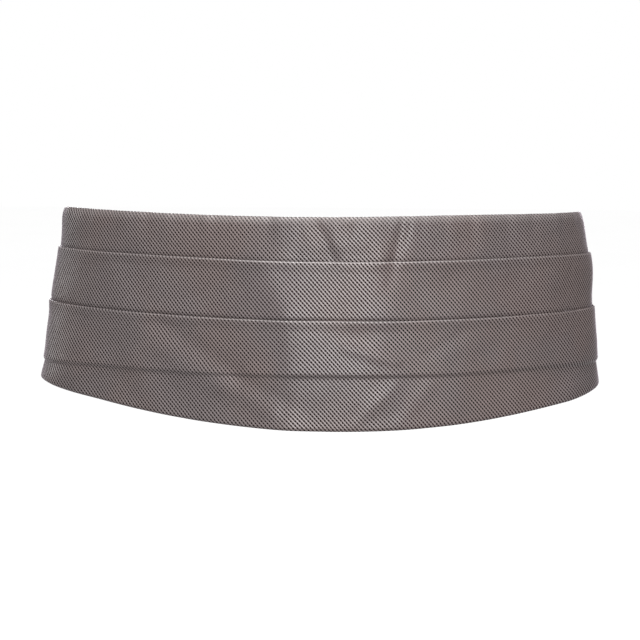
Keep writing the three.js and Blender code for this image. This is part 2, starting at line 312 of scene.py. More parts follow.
@dataclass(frozen=True)
class Crease:
    """A soft valley in all layers, from one place to another, in millimetres.

    A ridge has depth below 0. With a tip radius it is a bend that fades slowly to both sides.
    """

    along: float
    height: float
    to_along: float
    to_height: float
    depth: float
    width: float
    tip: float = 0.0

    def depth_at(self, along: np.ndarray, height: np.ndarray) -> np.ndarray:
        """How far the crease sinks a wall, in metres.

        Args:
            along: Lengths from the front's middle.
            height: Levels.

        Returns:
            One depth for each place.
        """
        run_x, run_z = (self.to_along - self.along) * MM, (self.to_height - self.height) * MM
        x, z = along - self.along * MM, height - self.height * MM
        share = np.clip((x * run_x + z * run_z) / (run_x**2 + run_z**2), 0.0, 1.0)
        away = np.hypot(x - share * run_x, z - share * run_z)
        width, tip = self.width * MM, self.tip * MM
        if tip:
            return self.depth * MM * np.exp(-(np.hypot(away, tip) - tip) / width)
        return self.depth * MM * np.exp(-(away**2) / width**2)


# The larger creases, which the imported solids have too
MAIN_CREASES: tuple[Crease, ...] = (
    Crease(-221.4, -37.0, -151.2, -37.0, -1.5, 9.9),
    Crease(-221.4, 2.4, -151.2, 0.0, 1.1, 11.9),
    Crease(151.2, 27.5, 221.4, 26.3, -1.4, 17.1),
    Crease(151.2, -41.8, 221.4, -39.4, -1.6, 9.9),
    Crease(-91.8, -1.2, -45.9, -27.5, 0.8, 5.5),
    Crease(-99.9, -9.6, -54.0, -35.8, -0.8, 6.9),
)

# Finer creases of the cloth
FINE_CREASES: tuple[Crease, ...] = (
    Crease(-31.0, 36.0, -21.0, 7.0, -1.7, 24.0, tip=1.5),
    Crease(-19.0, 4.0, -16.0, -58.5, -1.8, 24.0, tip=1.5),
    Crease(-45.4, -29.0, -19.4, -43.0, 0.6, 4.5),
    Crease(-56.0, -34.0, -27.0, -49.0, -0.6, 4.5),
    Crease(12.3, -12.5, 39.0, -20.5, -0.7, 3.2),
    Crease(-6.0, 60.5, 5.0, 37.0, 1.0, 3.4),
    Crease(46.0, 60.5, 38.6, 35.0, 1.1, 3.2),
    Crease(38.6, 35.0, 36.0, 22.0, 0.4, 3.0),
    Crease(38.9, -33.5, 18.1, -55.5, -0.5, 3.5),
    Crease(58.0, -34.0, 41.5, -54.0, -0.4, 4.0),
    Crease(57.5, -16.0, 76.0, -6.5, 0.45, 3.0),
    Crease(-13.0, 37.0, 24.0, 37.0, 0.8, 5.5),
)


@dataclass(frozen=True)
class ClothForm:
    """The form that every cloth wall lies on: the loop, the bands' heights and the creases."""

    loop: WaistLoop
    pattern: FrontPattern
    creases: tuple[Crease, ...]
    wave_count: int = 22
    wave_lengths: Span = (14 * MM, 70 * MM)
    wave_slope: float = 0.015  # steepest tilt of each wave
    wave_seed: int = 11
    # length and start of each row of puckers at the top edge
    pucker_waves: tuple[Span, ...] = ((10.7 * MM, 0.3), (14.3 * MM, 2.1), (23.9 * MM, 4.0), (8.3 * MM, 5.1))
    pucker_slope: float = 0.08  # steepest tilt of each row
    pucker_drift: float = 40.0  # how fast the puckers close up, away from the middle
    pucker_length: float = 9.0 * MM
    fold_swell: float = 0.35 * MM  # how far the layers stand out at a fold
    swell_round: float = 0.4 * MM
    above_fold: float = 9.0 * MM
    below_fold: float = 4.5 * MM
    loft_from: float = 90 * MM  # how far from the front's middle the folds begin to lie flatter
    loft_to: float = 190 * MM

    def loft(self, along: np.ndarray) -> np.ndarray:
        """How freely the folds stand out: 1 in front and 0 at the sides, where they are pulled flat."""
        return 1.0 - ease((np.abs(along) - self.loft_from) / (self.loft_to - self.loft_from))

    @cached_property
    def waves(self) -> np.ndarray:
        """Unevenness of the cloth as plane waves: rates along and up, heights and starts."""
        dice = np.random.default_rng(self.wave_seed)
        rate = 2 * np.pi / dice.uniform(*self.wave_lengths, self.wave_count)
        turn = dice.uniform(0.0, np.pi, self.wave_count)
        start = dice.uniform(0.0, 2 * np.pi, self.wave_count)
        return np.stack([rate * np.cos(turn), rate * np.sin(turn), self.wave_slope / rate, start], axis=1)

    def puckers(self, along: np.ndarray, below: np.ndarray) -> np.ndarray:
        """Small upright puckers that hang from the sewn top edge.

        Args:
            along: Lengths from the front's middle.
            below: How far below the top edge each place is.

        Returns:
            How far they sink a wall.
        """
        depth = np.zeros_like(along)
        for length, start in self.pucker_waves:
            rate = 2 * np.pi / length
            phase = rate * along + start + self.pucker_drift * along * along
            depth = depth + self.pucker_slope / rate * np.sin(phase)
        return depth * np.exp(-np.maximum(below, 0.0) / self.pucker_length)

    def relief(self, along: np.ndarray, height: np.ndarray) -> np.ndarray:
        """How far the creases, the cloth's unevenness and the folds sink a wall.

        Args:
            along: Lengths from the front's middle.
            height: Levels.

        Returns:
            One depth for each place.
        """
        depth = sum(crease.depth_at(along, height) for crease in self.creases)
        for along_rate, height_rate, size, start in self.waves:
            depth = depth + size * np.sin(along_rate * along + height_rate * height + start)
        levels = self.pattern.levels(along)
        for level in (levels.upper_fold, levels.lower_fold, levels.tuck):
            away = height - level
            reach = np.where(away > 0, self.above_fold, self.below_fold)
            swell = self.fold_swell * self.loft(along)
            depth = depth - swell * np.exp(-np.hypot(away, self.swell_round) / reach)
        return depth + self.puckers(along, levels.top - height)

    def place(self, along: np.ndarray, out: np.ndarray, height: np.ndarray) -> np.ndarray:
        """World points of places on the walls.

        Args:
            along: Lengths from the front's middle.
            out: Distances outward from the loop.
            height: Levels. Any of the three may be one number for all places.

        Returns:
            Points, in the shape of the inputs with x, y and z last.
        """
        along, out, height = np.broadcast_arrays(along, out, height)
        point, outward = self.loop.locate(along)
        lean = self.loop.lean(outward) * (self.pattern.top_level - height)
        push = out + lean - self.relief(along, height)
        plan = point + outward * push[..., None]
        return np.concatenate([plan, height[..., None]], axis=-1)


# Finishes


class NodeTree:
    """A node tree that is built step by step."""

    tree: bpy.types.NodeTree

    def node(self, kind: str, **settings: object) -> bpy.types.Node:
        """Add a node.

        Args:
            kind: Its type.
            settings: Its own settings, by name.

        Returns:
            The node.
        """
        made = self.tree.nodes.new(kind)
        for key, value in settings.items():
            setattr(made, key, value)
        return made

    def join(self, socket: Socket, value: object) -> None:
        """Link a socket, or set its value.

        Args:
            socket: The input socket.
            value: Another node's output, or a value; a colour has three numbers.
        """
        if isinstance(value, bpy.types.NodeSocket):
            self.tree.links.new(value, socket)
        else:
            socket.default_value = (*value, 1.0) if socket.type == "RGBA" else value

    def feed(self, node: bpy.types.Node, **values: object) -> bpy.types.Node:
        """Link or set a node's inputs.

        Args:
            node: The node.
            values: Sockets or values by the inputs' names, with _ for a space.

        Returns:
            The same node.
        """
        for key, value in values.items():
            self.join(node.inputs[key.replace("_", " ")], value)
        return node

    def math(self, operation: str, *values: object) -> Socket:
        """A sum.

        Args:
            operation: The Math node's operation.
            values: One, two or three sockets or numbers.

        Returns:
            The node's output.
        """
        made = self.node("ShaderNodeMath", operation=operation)
        for socket, value in zip(made.inputs, values):
            self.join(socket, value)
        return made.outputs[0]


NOISE_SPAN: Span = (0.3, 0.7)  # what smooth noise covers


class Recipe(NodeTree):
    """A material's node tree."""

    MIX_SOCKETS = (0, 6, 7)  # a Mix node's factor and its two colours
    MIX_RESULT = 2

    def __init__(self, name: str) -> None:
        """Start a material with an empty tree and its shader.

        Args:
            name: The material's name.
        """
        self.material = bpy.data.materials.new(name)
        self.material.use_nodes = True
        self.tree = self.material.node_tree
        self.tree.nodes.clear()
        self.shader = self.node("ShaderNodeBsdfPrincipled")
        self.feed(self.node("ShaderNodeOutputMaterial"), Surface=self.shader.outputs["BSDF"])

    def dot(self, vector: Socket, with_vector: Place) -> Socket:
        """Dot product of a vector and fixed numbers.

        Args:
            vector: The vector's socket.
            with_vector: The numbers.

        Returns:
            The product.
        """
        made = self.node("ShaderNodeVectorMath", operation="DOT_PRODUCT")
        for socket, value in zip(made.inputs, (vector, with_vector)):
            self.join(socket, value)
        return made.outputs["Value"]

    def range(self, value: Socket, span: Span, to: Span = (0.0, 1.0)) -> Socket:
        """A number moved smoothly from one range to another.

        Args:
            value: The number.
            span: Where the change starts and ends.
            to: The results up to the start and from the end on.

        Returns:
            The node's output.
        """
        made = self.node("ShaderNodeMapRange", interpolation_type="SMOOTHSTEP")
        self.feed(made, Value=value, From_Min=span[0], From_Max=span[1], To_Min=to[0], To_Max=to[1])
        return made.outputs["Result"]

    def noise(self, vector: Socket, scale: float, detail: float, stretch: Place = (1, 1, 1)) -> Socket:
        """Smooth noise.

        Args:
            vector: Where it is read.
            scale: Cells in each metre.
            detail: How many finer layers it has.
            stretch: How much closer its cells lie along each axis.

        Returns:
            The noise value.
        """
        mapped = self.feed(self.node("ShaderNodeMapping"), Vector=vector, Scale=stretch)
        made = self.node("ShaderNodeTexNoise")
        self.feed(made, Vector=mapped.outputs["Vector"], Scale=scale, Detail=detail)
        return made.outputs["Fac"]

    def blend(self, factor: object, first: object, second: object) -> Socket:
        """Two colours mixed.

        Args:
            factor: Share of the second colour.
            first: A colour or its socket.
            second: A colour or its socket.

        Returns:
            The mixed colour.
        """
        made = self.node("ShaderNodeMix", data_type="RGBA")
        for index, value in zip(self.MIX_SOCKETS, (factor, first, second)):
            self.join(made.inputs[index], value)
        return made.outputs[self.MIX_RESULT]

    def mottle(
        self, tone: object, noise: Socket, other: Colour, amount: float = 1.0, span: Span = NOISE_SPAN
    ) -> Socket:
        """A colour that turns to another where a noise is high.

        Args:
            tone: The colour or its socket.
            noise: The noise value.
            other: The colour that it turns to.
            amount: How far it turns to it at most.
            span: The noise values where that starts and ends.

        Returns:
            The mottled colour.
        """
        return self.blend(self.range(noise, span, (0.0, amount)), tone, other)

    def bump(self, height: Socket, distance: float) -> None:
        """Raise the surface by a height from 0 to 1 times a distance in metres."""
        made = self.feed(self.node("ShaderNodeBump"), Strength=1.0, Distance=distance, Height=height)
        self.feed(self.shader, Normal=made.outputs["Normal"])

    def uv(self) -> Socket:
        """The cloth's own map, in metres along and down the cloth."""
        return self.node("ShaderNodeUVMap", uv_map="cloth").outputs["UV"]

    def here(self) -> Socket:
        """The place on the object, in metres."""
        return self.node("ShaderNodeTexCoord").outputs["Object"]

    def attribute(self, name: str) -> Socket:
        """A number that the mesh carries."""
        return self.node("ShaderNodeAttribute", attribute_name=name).outputs["Fac"]


@dataclass(frozen=True)
class BirdsEyeSilk:
    """Silk with thin dark falling lines, darkest where fainter rising lines cross them."""

    name: str = "silk_birds_eye"
    light: Colour = (0.085, 0.071, 0.071)
    brown: Colour = (0.092, 0.072, 0.069)
    shaded: Colour = (0.053, 0.044, 0.043)
    dark: Colour = (0.002, 0.001, 0.001)
    # painted highlight: a light colour laid along each fold's top and over the top edge's roll, wherever the
    # mesh's crease attribute is above 0
    painted_highlight: Colour = (0.30, 0.28, 0.275)
    cell_width: float = 2.2 * MM
    cell_height: float = 2.55 * MM
    line_edge: Span = (0.12, 0.42)  # where a line starts and stops fading, in cells from its middle
    line_alone: float = 0.5  # how dark a falling line is between its crossings
    dark_span: Span = (0.1, 0.8)  # shares of dark between which the shine goes
    thread_scale: float = 900.0
    cloud_scale: float = 22.0
    relief: float = 0.07 * MM

    def line(self, recipe: Recipe, place: Socket) -> Socket:
        """How near a place is to the nearest line: 1 on it, 0 well inside a lozenge."""
        return recipe.range(recipe.math("PINGPONG", place, 0.5), self.line_edge, (1.0, 0.0))

    def material(self) -> bpy.types.Material:
        """Build the material.

        Returns:
            The material.
        """
        recipe = Recipe(self.name)
        cloth = recipe.uv()
        along, down = 1.0 / self.cell_width, 1.0 / self.cell_height
        falling = self.line(recipe, recipe.dot(cloth, (along, -down, 0.0)))
        rising = self.line(recipe, recipe.dot(cloth, (along, down, 0.0)))
        crossing = recipe.math("MULTIPLY_ADD", rising, 1.0 - self.line_alone, self.line_alone)
        dark_share = recipe.math("MULTIPLY", falling, crossing)
        threads = recipe.noise(cloth, self.thread_scale, 1.0, (4.0, 0.5, 1.0))
        cloudy = recipe.noise(recipe.here(), self.cloud_scale, 2.0)
        tone = recipe.mottle(self.light, cloudy, self.brown, span=(0.35, 0.65))
        tone = recipe.blend(dark_share, recipe.mottle(tone, threads, self.shaded, 0.25), self.dark)
        # the crease attribute mixes the painted highlight colour into the base colour
        recipe.feed(
            recipe.shader,
            Base_Color=recipe.blend(recipe.attribute("crease"), tone, self.painted_highlight),
            Roughness=recipe.range(dark_share, self.dark_span, (0.42, 0.85)),
            Specular_IOR_Level=recipe.range(dark_share, self.dark_span, (0.4, 0.0)),
            Sheen_Weight=0.2,
            Sheen_Roughness=0.25,
            Sheen_Tint=(0.95, 0.82, 0.93),
        )
        dome = recipe.math("SUBTRACT", 1.0, dark_share)
        recipe.bump(recipe.math("MULTIPLY_ADD", threads, 0.25, dome), self.relief)
        return recipe.material


@dataclass(frozen=True)
class SatinLining:
    """Plain lining with a fine slanted weave."""

    name: str = "satin_lining"
    colour: Colour = (0.105, 0.093, 0.092)
    worn: Colour = (0.075, 0.066, 0.066)
    groove: float = 0.72  # how light the weave's grooves are, against its ribs
    twill: float = 0.7 * MM
    cloud_scale: float = 30.0
    relief: float = 0.05 * MM

    def material(self) -> bpy.types.Material:
        """Build the material.

        Returns:
            The material.
        """
        recipe = Recipe(self.name)
        slant = recipe.dot(recipe.uv(), (1.0 / self.twill, 0.6 / self.twill, 0.0))
        rib = recipe.range(recipe.math("PINGPONG", slant, 0.5), (0.05, 0.4))
        cloudy = recipe.noise(recipe.here(), self.cloud_scale, 3.0)
        tone = recipe.blend(rib, tuple(c * self.groove for c in self.colour), self.colour)
        recipe.feed(
            recipe.shader,
            Base_Color=recipe.mottle(tone, cloudy, self.worn, 0.3),
            Roughness=recipe.range(cloudy, NOISE_SPAN, (0.42, 0.52)),
            Sheen_Weight=0.1,
            Sheen_Roughness=0.4,
        )
        recipe.bump(rib, self.relief)
        return recipe.material


@dataclass(frozen=True)
class RibbedStrapCloth:
    """Strap cloth with ribs across it."""

    name: str = "ribbed_strap_cloth"
    colour: Colour = (0.125, 0.108, 0.107)
    fluff: Colour = (0.17, 0.148, 0.146)
    worn: Colour = (0.09, 0.078, 0.078)
    groove: float = 0.5  # how light the grooves are, against the ribs
    rib: float = 1.15 * MM
    cloud_scale: float = 40.0
    thread_scale: float = 1400.0
    relief: float = 0.16 * MM

    def material(self) -> bpy.types.Material:
        """Build the material.

        Returns:
            The material.
        """
        recipe = Recipe(self.name)
        here = recipe.here()
        ribs = recipe.math("MULTIPLY", recipe.attribute("run"), 1.0 / self.rib)
        rib = recipe.range(recipe.math("PINGPONG", ribs, 0.5), (0.02, 0.4))
        cloudy = recipe.noise(here, self.cloud_scale, 3.0)
        threads = recipe.noise(here, self.thread_scale, 1.0, (1.0, 1.0, 3.0))
        tone = recipe.blend(rib, tuple(c * self.groove for c in self.colour), self.colour)
        tone = recipe.mottle(tone, threads, self.fluff, 0.4)
        recipe.feed(
            recipe.shader,
            Base_Color=recipe.mottle(tone, cloudy, self.worn, 0.3),
            Roughness=recipe.range(rib, (0.0, 1.0), (0.8, 0.6)),
            Sheen_Weight=0.15,
            Sheen_Roughness=0.5,
        )
        recipe.bump(recipe.math("MULTIPLY_ADD", threads, 0.2, rib), self.relief)
        return recipe.material


@dataclass(frozen=True)
class SewingThread:
    """Twisted thread a little lighter than the cloth."""

    name: str = "sewing_thread"
    colour: Colour = (0.24, 0.21, 0.205)
    shaded: Colour = (0.15, 0.13, 0.128)
    twist_scale: float = 2600.0
    relief: float = 0.05 * MM

    def material(self) -> bpy.types.Material:
        """Build the material.

        Returns:
            The material.
        """
        recipe = Recipe(self.name)
        twist = recipe.noise(recipe.here(), self.twist_scale, 1.0)
        recipe.feed(
            recipe.shader,
            Base_Color=recipe.mottle(self.colour, twist, self.shaded, span=(0.35, 0.65)),
            Roughness=recipe.range(twist, NOISE_SPAN, (0.5, 0.65)),
            Sheen_Weight=0.1,
        )
        recipe.bump(twist, self.relief)
        return recipe.material


@dataclass(frozen=True)
class SatinMetal:
    """Dark satin metal, brushed along its length, a little brighter where it is rubbed."""

    name: str = "satin_metal"
    colour: Colour = (0.2, 0.2, 0.205)
    rubbed: Colour = (0.3, 0.3, 0.305)
    brush_scale: float = 900.0
    smudge_scale: float = 90.0
    relief: float = 0.02 * MM

    def material(self) -> bpy.types.Material:
        """Build the material.

        Returns:
            The material.
        """
        recipe = Recipe(self.name)
        here = recipe.here()
        brushed = recipe.noise(here, self.brush_scale, 2.0, (0.04, 1.0, 1.0))
        smudge = recipe.noise(here, self.smudge_scale, 3.0)
        recipe.feed(
            recipe.shader,
            Base_Color=recipe.mottle(self.colour, brushed, self.rubbed, 0.5),
            Metallic=1.0,
            Roughness=recipe.range(smudge, NOISE_SPAN, (0.28, 0.42)),
        )
        recipe.bump(brushed, self.relief)
        return recipe.material


@dataclass(frozen=True)
class PalePaper:
    """Plain pale paper for the floor."""

    name: str = "pale_paper"
    colour: Colour = (0.45, 0.45, 0.45)
    grain: Colour = (0.47, 0.47, 0.47)
    grain_scale: float = 6.0
    glow: float = 0.82

    def material(self) -> bpy.types.Material:
        """Build the material.

        Returns:
            The material.
        """
        recipe = Recipe(self.name)
        grain = recipe.noise(recipe.here(), self.grain_scale, 2.0)
        seen = recipe.node("ShaderNodeLightPath").outputs["Is Camera Ray"]
        recipe.feed(
            recipe.shader,
            Base_Color=recipe.mottle(self.colour, grain, self.grain),
            Roughness=0.9,
            Emission_Color=(1.0, 1.0, 1.0),
            Emission_Strength=recipe.math("MULTIPLY", seen, self.glow),
        )
        return recipe.material


@dataclass(frozen=True)
class Finishes:
    """The materials of all the pieces."""

    silk: bpy.types.Material
    lining: bpy.types.Material
    strap: bpy.types.Material
    thread: bpy.types.Material
    metal: bpy.types.Material

    @classmethod
    def mixed(cls) -> "Finishes":
        """Build every finish once."""
        kinds = (BirdsEyeSilk, SatinLining, RibbedStrapCloth, SewingThread, SatinMetal)
        return cls(*(kind().material() for kind in kinds))


# The pleated front


class StripRows:
    """Rows of a strip's middle line, added part by part; each part goes on from the last row."""

    def __init__(self, height: np.ndarray, out: float) -> None:
        """Start with one row, at a level for each column and a distance outward."""
        self.heights = [height[None, :]]
        self.outs = [np.full((1, len(height)), out)]

    @property
    def count(self) -> int:
        """How many rows there are so far."""
        return sum(len(part) for part in self.heights)

    def add(self, height: np.ndarray, out: np.ndarray) -> None:
        """Add rows of levels and distances outward, by row and column."""
        self.heights.append(height)
        self.outs.append(np.broadcast_to(out, height.shape))

    def on_to(self, end: np.ndarray, count: int) -> np.ndarray:
        """Levels in even steps from the last row's to another, by row and column."""
        return between(self.heights[-1][-1], end, np.linspace(0.0, 1.0, count + 1)[1:])

    def run(self, end: np.ndarray, count: int, out: np.ndarray | float) -> None:
        """Add a part that goes on to a level and eases over to a distance outward.

        Args:
            end: Its last level, by column.
            count: How many rows it has.
            out: Its last distance outward, by column or for all.
        """
        shares = ease(np.linspace(0.0, 1.0, count + 1)[1:])
        last = np.broadcast_to(out, end.shape)
        self.add(self.on_to(end, count), between(self.outs[-1][-1], last, shares))

    def arc(self, centre: np.ndarray, rise: float, middle: float, reach: float, turn: np.ndarray) -> None:
        """Add a round part.

        Args:
            centre: Level of its centre, by column.
            rise: How far its crown lies above the centre.
            middle: Distance outward of its centre.
            reach: How far outward from the centre it is at turn 0.
            turn: The turn of each row.
        """
        self.add(centre + (rise * np.sin(turn))[:, None], (middle + reach * np.cos(turn))[:, None])

    def joined(self) -> tuple[np.ndarray, np.ndarray]:
        """The levels and the distances outward of all the rows."""
        return np.concatenate(self.heights), np.concatenate(self.outs)


@dataclass
class ClothPath:
    """The middle line of a strip of cloth, seen from its end: rows down the strip, columns along it."""

    out: np.ndarray
    height: np.ndarray
    fold_row: int  # where the fold's highest line is
    closing: np.ndarray  # out of the line that the layers close in on at the ends, by row
    lining: int = 0  # how many rows of faces, from the first, are lining on their right side


@dataclass
class FrontPiece:
    """A strip of cloth of the front, from one end of the panel to the other."""

    form: ClothForm
    finishes: Finishes
    grain: float = 0.0  # turn of the weave on the strip, in degrees
    cloth: float = 0.4 * MM
    column_step: float = 1.36 * MM
    even_from: float = 2.0 * MM  # where the even columns begin, from the panel's end
    lone_column: float = 1.4 * MM  # the one column between them and the round end
    end_turns: Span = (np.pi / 2, 0.2)  # turns of the round end's first and last column
    end_columns: int = 5
    end_round: float = 0.8 * MM
    end_pinch: float = 0.2  # share of the strip's thickness that is left at its very end
    arc_rows: int = 9
    band_rows: int = 20
    close_above: float = 3.0 * MM  # where the close rows beside an overlying fold begin and end
    close_below: float = 2.0 * MM
    close_rows: int = 15
    hidden_rows: int = 7
    dip_depth: float = 0.6 * MM
    dip_reach: float = 2.6 * MM
    dip_start: float = 4.0  # where the dip begins below the fold, in reaches
    dip_blend: float = 3.0
    dip_least: float = 0.5  # share of the dip that is left at the sides
    # a painted highlight: a light line along the fold's top, fading away from the front's middle
    painted_highlight_share: float = 0.0  # how strong the painted highlight along a fold's top is
    painted_highlight_least: float = 0.2  # share of that painted highlight left far from the front's middle
    painted_highlight_fade: float = 80 * MM
    painted_highlight_reach: float = 0.5 * MM
    painted_highlight_drop: float = -0.5 * MM  # where that painted highlight lies, against the fold's top

    def columns(self) -> np.ndarray:
        """Where the strip's columns are, closer together at its round ends.

        Returns:
            Lengths from the front's middle.
        """
        reach = self.form.pattern.reach
        even = reach - self.even_from
        middle = np.linspace(-even, even, round(2 * even / self.column_step) + 1)
        turned = 1.0 - np.sin(np.linspace(*self.end_turns, self.end_columns))
        end = reach - np.concatenate([turned * self.end_round, [self.lone_column]])
        return np.concatenate([-end, middle, end[::-1]])

    def run_under(self, rows: StripRows, fold: np.ndarray, end: np.ndarray, out: float) -> None:
        """Add a flat layer that goes down under an overlying fold.

        Args:
            rows: The rows so far.
            fold: The fold's level, by column.
            end: The level that the layer ends at, by column.
            out: Its distance outward.
        """
        rows.run(fold + self.close_above, self.band_rows, out)
        rows.run(fold - self.close_below, self.close_rows, out)
        rows.run(end, self.hidden_rows, out)

    def dip(self, height: np.ndarray, fold: np.ndarray) -> np.ndarray:
        """How far a layer sinks just above a fold that lies on it.

        Args:
            height: Levels, by row and column.
            fold: The fold's level, by column.

        Returns:
            Depths, by row and column.
        """
        above = (height - fold[None, :]) / self.dip_reach
        held = np.where(above > 0, np.clip(1.0 - above, 0.0, 1.0) ** 2, 1.0)
        share = self.dip_least + (1.0 - self.dip_least) * self.form.loft(self.columns())
        return self.dip_depth * share * held * ease((above + self.dip_start) / self.dip_blend)

    def build(self, name: str, path: ClothPath) -> bpy.types.Object:
        """Give a path its thickness and make it a closed mesh with its own map.

        Args:
            name: The piece's name.
            path: The cloth's middle line.

        Returns:
            The piece.
        """
        along = self.columns()
        to_end = self.form.pattern.reach - np.abs(along)
        round_share = 1.0 - np.clip(to_end / self.end_round, 0.0, 1.0)
        pinch = np.maximum(np.sqrt(1.0 - round_share**2), self.end_pinch)[None, :]
        closing = path.closing[:, None]
        out = closing + (path.out - closing) * pinch
        run_out, run_up = np.gradient(out, axis=0), np.gradient(path.height, axis=0)
        size = np.hypot(run_out, run_up)
        half = self.cloth / 2 * pinch
        off_out, off_up = -run_up / size * half, run_out / size * half
        right = self.form.place(along[None, :], out + off_out, path.height + off_up)
        wrong = self.form.place(along[None, :], out - off_out, path.height - off_up)
        steps = np.hypot(np.diff(path.out, axis=0), np.diff(path.height, axis=0))
        down = np.concatenate([np.zeros((1, len(along))), np.cumsum(steps, axis=0)])
        down = down - down[path.fold_row][None, :]
        cos, sin = math.cos(math.radians(self.grain)), math.sin(math.radians(self.grain))
        cloth_map = np.stack([along * cos + down * sin, down * cos - along * sin], axis=-1)
        piece = closed_strip(name, right, wrong, cloth_map, path.lining)
        # painted highlight: a light line along the fold's top, strongest near the front's middle, carried on
        # the right side as the crease attribute
        painted_highlight = np.clip(1.0 - np.abs(down + self.painted_highlight_drop) / self.painted_highlight_reach, 0.0, 1.0)
        near = np.exp(-((along / self.painted_highlight_fade) ** 2))
        painted_highlight = painted_highlight * self.painted_highlight_share * (self.painted_highlight_least + (1.0 - self.painted_highlight_least) * near)
        mark(piece.data, "crease", np.concatenate([painted_highlight, np.zeros_like(painted_highlight)]).ravel())
        piece.data.materials.append(self.finishes.silk)
        piece.data.materials.append(self.finishes.lining)
        return piece


SHARP_DEGREES = 50.0  # the cloth's edges stay sharp past this turn


def closed_strip(
    name: str, right: np.ndarray, wrong: np.ndarray, cloth_map: np.ndarray, lining: int
) -> bpy.types.Object:
    """A closed mesh from the two sides of a strip of cloth.

    Args:
        name: The piece's name.
        right: Points of the right side, by row and column.
        wrong: Points of the wrong side.
        cloth_map: The map's two lengths for each point.
        lining: How many rows of the right side's faces take the second material.

    Returns:
        The piece, with its faces pointing out.
    """
    rows, columns = right.shape[:2]
    points = np.concatenate([right, wrong[::-1]]).reshape(-1, 3)
    ring_map = np.concatenate([cloth_map, cloth_map[::-1]]).reshape(-1, 2)
    index = np.arange(len(points)).reshape(2 * rows, columns)
    ahead = np.roll(index, -1, axis=0)
    sides = np.stack([index[:, :-1], index[:, 1:], ahead[:, 1:], ahead[:, :-1]], axis=-1).reshape(-1, 4)
    front, back = index[:rows], index[rows:][::-1]
    first, last = (
        np.stack([front[:-1, end], front[1:, end], back[1:, end], back[:-1, end]], axis=-1)
        for end in (0, columns - 1)
    )
    faces = np.concatenate([sides, first, last[:, ::-1]])
    corner = np.moveaxis(points[faces], 1, 0)
    volume = sum(
        np.einsum("ij,ij->i", corner[0], np.cross(corner[i], corner[i + 1])).sum() for i in (1, 2)
    )
    if volume < 0:
        faces = faces[:, ::-1]
    mesh = bpy.data.meshes.new(name)
    mesh.from_pydata(points.tolist(), [], faces.tolist())
    layer = mesh.uv_layers.new(name="cloth")
    layer.data.foreach_set("uv", ring_map[faces.ravel()].ravel())
    finish = np.zeros(len(faces), dtype=np.int32)
    finish[: lining * (columns - 1)] = 1
    mesh.polygons.foreach_set("material_index", finish)
    soften(mesh, SHARP_DEGREES)
    mesh.update()
    return linked(name, mesh)


@dataclass
class FrontPanel(FrontPiece):
    """The base cloth: outside, over a soft rolled top edge, and down the inside as a lining."""

    grain: float = -2.0
    wall: float = 1.6 * MM
    roll_height: float = 8.0 * MM
    roll_back: float = 2.2 * MM
    roll_blend: float = 5.0 * MM
    roll_inside: float = -1.0 * MM  # out of the rolled edge's inner side
    crown_out: float = -0.2 * MM
    facing: float = 8.0 * MM  # how far the silk goes down the inside before the lining
    pleat_wall: float = 1.0 * MM
    layer_gap: float = 0.3 * MM
    lining_rows: int = 28
    facing_rows: int = 9
    band_rows: int = 14
    hidden_rows: int = 23
    dip_depth: float = 0.35 * MM
    # painted highlight over the top edge's roll, up to 5 mm to either side of its crown
    painted_highlight_share: float = 0.2
    painted_highlight_fade: float = 150 * MM
    painted_highlight_reach: float = 5.0 * MM
    painted_highlight_drop: float = 0.0

    def path(self) -> ClothPath:
        """The cloth's middle line, from inside the hem, over the top edge, to inside the hem.

        Returns:
            The path.
        """
        levels = self.form.pattern.levels(self.columns())
        inner, outer = self.cloth / 2, self.wall - self.cloth / 2
        back = self.roll_inside + self.cloth / 2
        bottom = levels.hem + self.pleat_wall + self.layer_gap
        crest = levels.top - self.cloth / 2
        inside_top = crest - self.roll_back
        rows = StripRows(bottom, inner)
        rows.run(inside_top - self.facing, self.lining_rows, inner)
        facing = rows.on_to(inside_top, self.facing_rows)
        swell = ease((facing - (inside_top - self.roll_blend)) / self.roll_blend)
        rows.add(facing, inner + (back - inner) * swell)
        turn = np.linspace(0.0, np.pi / 2, self.arc_rows)[1:]
        rows.arc(inside_top, self.roll_back, self.crown_out, back - self.crown_out, turn)
        fold_row = rows.count - 1
        turn = np.linspace(np.pi / 2, 0.0, 2 * self.arc_rows)[1:]
        outside_top = crest - self.roll_height
        rows.arc(outside_top, self.roll_height, self.crown_out, outer - self.crown_out, turn)
        self.run_under(rows, levels.upper_fold, bottom, outer)
        height, out = rows.joined()
        after = np.arange(len(height))[:, None] > fold_row
        out -= np.where(after, self.dip(height, levels.upper_fold), 0.0)
        return ClothPath(out, height, fold_row, np.full(len(height), self.wall / 2), self.lining_rows)

    def make(self) -> bpy.types.Object:
        """Returns:
            The finished piece.
        """
        piece = self.build("front_panel_cloth", self.path())
        return carried(piece, Slot.SILK, "front_panel")


